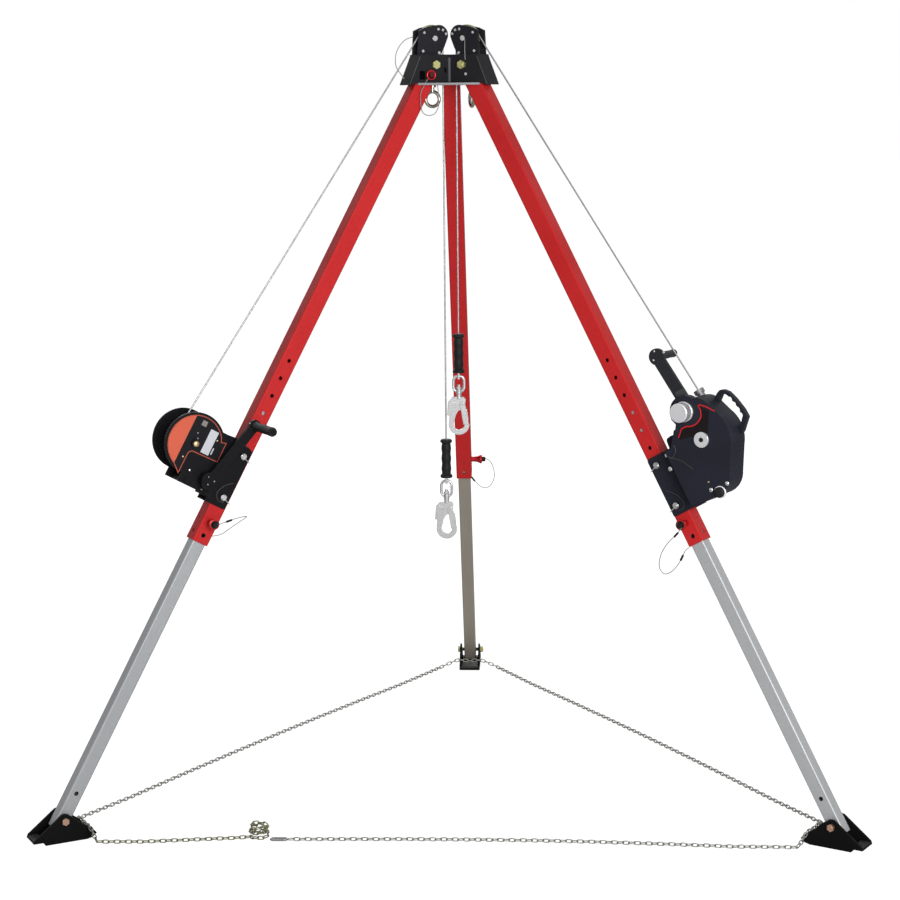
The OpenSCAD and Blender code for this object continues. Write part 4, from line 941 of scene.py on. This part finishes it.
def addWire(name, first, second, ferrules, points, mat):
    line, per = smoothLine(points, lanyards["per"]), lanyards["per"]
    tube = sweep(line, lanyards["diameter"] / 2, 8)
    obj = addPiece(name, *tube, mat, None if second else first, "rope_steel")
    if second:
        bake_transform(obj)
    for i in ferrules:
        mid, ahead = line[per * i], line[min(per * i + 2, len(line) - 1)]
        way = (ahead - line[per * i - 2]).normalized() * (lanyards["long"] / 2)
        near = first if not second or 2 * per * i < len(line) else second
        sleeve = sweep([mid - way, mid + way], lanyards["ferrule"] / 2, 14)
        addPiece(name + "Ferrule" + str(i), *sleeve, ferruleBlack, near)


for name, first, second, ferrules, points in wires:
    addWire(name, first, second, ferrules, [freePoint(*p) for p in points], wireCoat)
for name, (k, t, points) in loops.items():
    addWire(name, legNames[k], None, [], [legPoint(k, n, t, z) for n, z in points], loopDark)
print("lanyards hung")

# floor, light and backdrop
studio = {"floor": (0.90, 0.90, 0.90), "floorHalf": 60, "floorZ": -0.0006, "floorRough": 0.9, "world": 0.27,
          "glow": 1.36, "glowShare": 0.72, "aim": (0, 0, 1.0)}
lamps = {"keySoftbox": ((2.1, -6.5, 2.3), 385.0, 3.0), "backSoftbox": ((-1.5, 6.0, 3.2), 110.0, 4.0)}


def makeStudio():
    scene = bpy.context.scene
    scene.view_settings.view_transform = "Standard"
    world = bpy.data.worlds.new("softWhite")
    scene.world = world
    world.use_nodes = True
    tree = world.node_tree
    back = tree.nodes["Background"]
    path = addNode(tree, "ShaderNodeLightPath")
    seen = addNode(tree, "ShaderNodeMath", operation="MAXIMUM")
    tree.links.new(path.outputs["Is Camera Ray"], seen.inputs[0])
    tree.links.new(path.outputs["Is Transmission Ray"], seen.inputs[1])
    shine = addNode(tree, "ShaderNodeMath", operation="MAXIMUM")
    tree.links.new(seen.outputs["Value"], shine.inputs[0])
    tree.links.new(path.outputs["Is Glossy Ray"], shine.inputs[1])
    level = addNode(tree, "ShaderNodeMapRange")
    level.inputs["To Min"].default_value, level.inputs["To Max"].default_value = studio["world"], 1.0
    tree.links.new(shine.outputs["Value"], level.inputs["Value"])
    back.inputs["Color"].default_value = (1, 1, 1, 1)
    tree.links.new(level.outputs["Result"], back.inputs["Strength"])
    mat = bpy.data.materials.new("paleFloor")
    mat.use_nodes = True
    ft = mat.node_tree
    shader = ft.nodes["Principled BSDF"]
    shader.inputs["Base Color"].default_value = (*studio["floor"], 1)
    shader.inputs["Roughness"].default_value = studio["floorRough"]
    shader.inputs["Specular IOR Level"].default_value = 0.0
    glow = addNode(ft, "ShaderNodeEmission")
    glow.inputs["Strength"].default_value = studio["glow"]
    lp = addNode(ft, "ShaderNodeLightPath")
    cam = addNode(ft, "ShaderNodeMath", operation="MULTIPLY")
    cam.inputs[1].default_value = studio["glowShare"]
    ft.links.new(lp.outputs["Is Camera Ray"], cam.inputs[0])
    mix = addNode(ft, "ShaderNodeMixShader")
    ft.links.new(cam.outputs["Value"], mix.inputs["Fac"])
    ft.links.new(shader.outputs["BSDF"], mix.inputs[1])
    ft.links.new(glow.outputs["Emission"], mix.inputs[2])
    ft.links.new(mix.outputs["Shader"], ft.nodes["Material Output"].inputs["Surface"])
    mesh = bpy.data.meshes.new("paleFloor")
    d, z = studio["floorHalf"], studio["floorZ"]
    mesh.from_pydata([(x, y, z) for x, y in boxOf(-d, d, -d, d)], [], [(0, 1, 2, 3)])
    mesh.materials.append(mat)
    floor = bpy.data.objects.new("paleFloor", mesh)
    scene.collection.objects.link(floor)
    for name, (spot, power, size) in lamps.items():
        lamp = bpy.data.lights.new(name, "AREA")
        lamp.energy, lamp.size = power, size
        obj = bpy.data.objects.new(name, lamp)
        obj.location = spot
        obj.rotation_euler = (Vector(studio["aim"]) - Vector(spot)).to_track_quat("-Z", "Y").to_euler()
        scene.collection.objects.link(obj)


makeStudio()
print("studio lit")
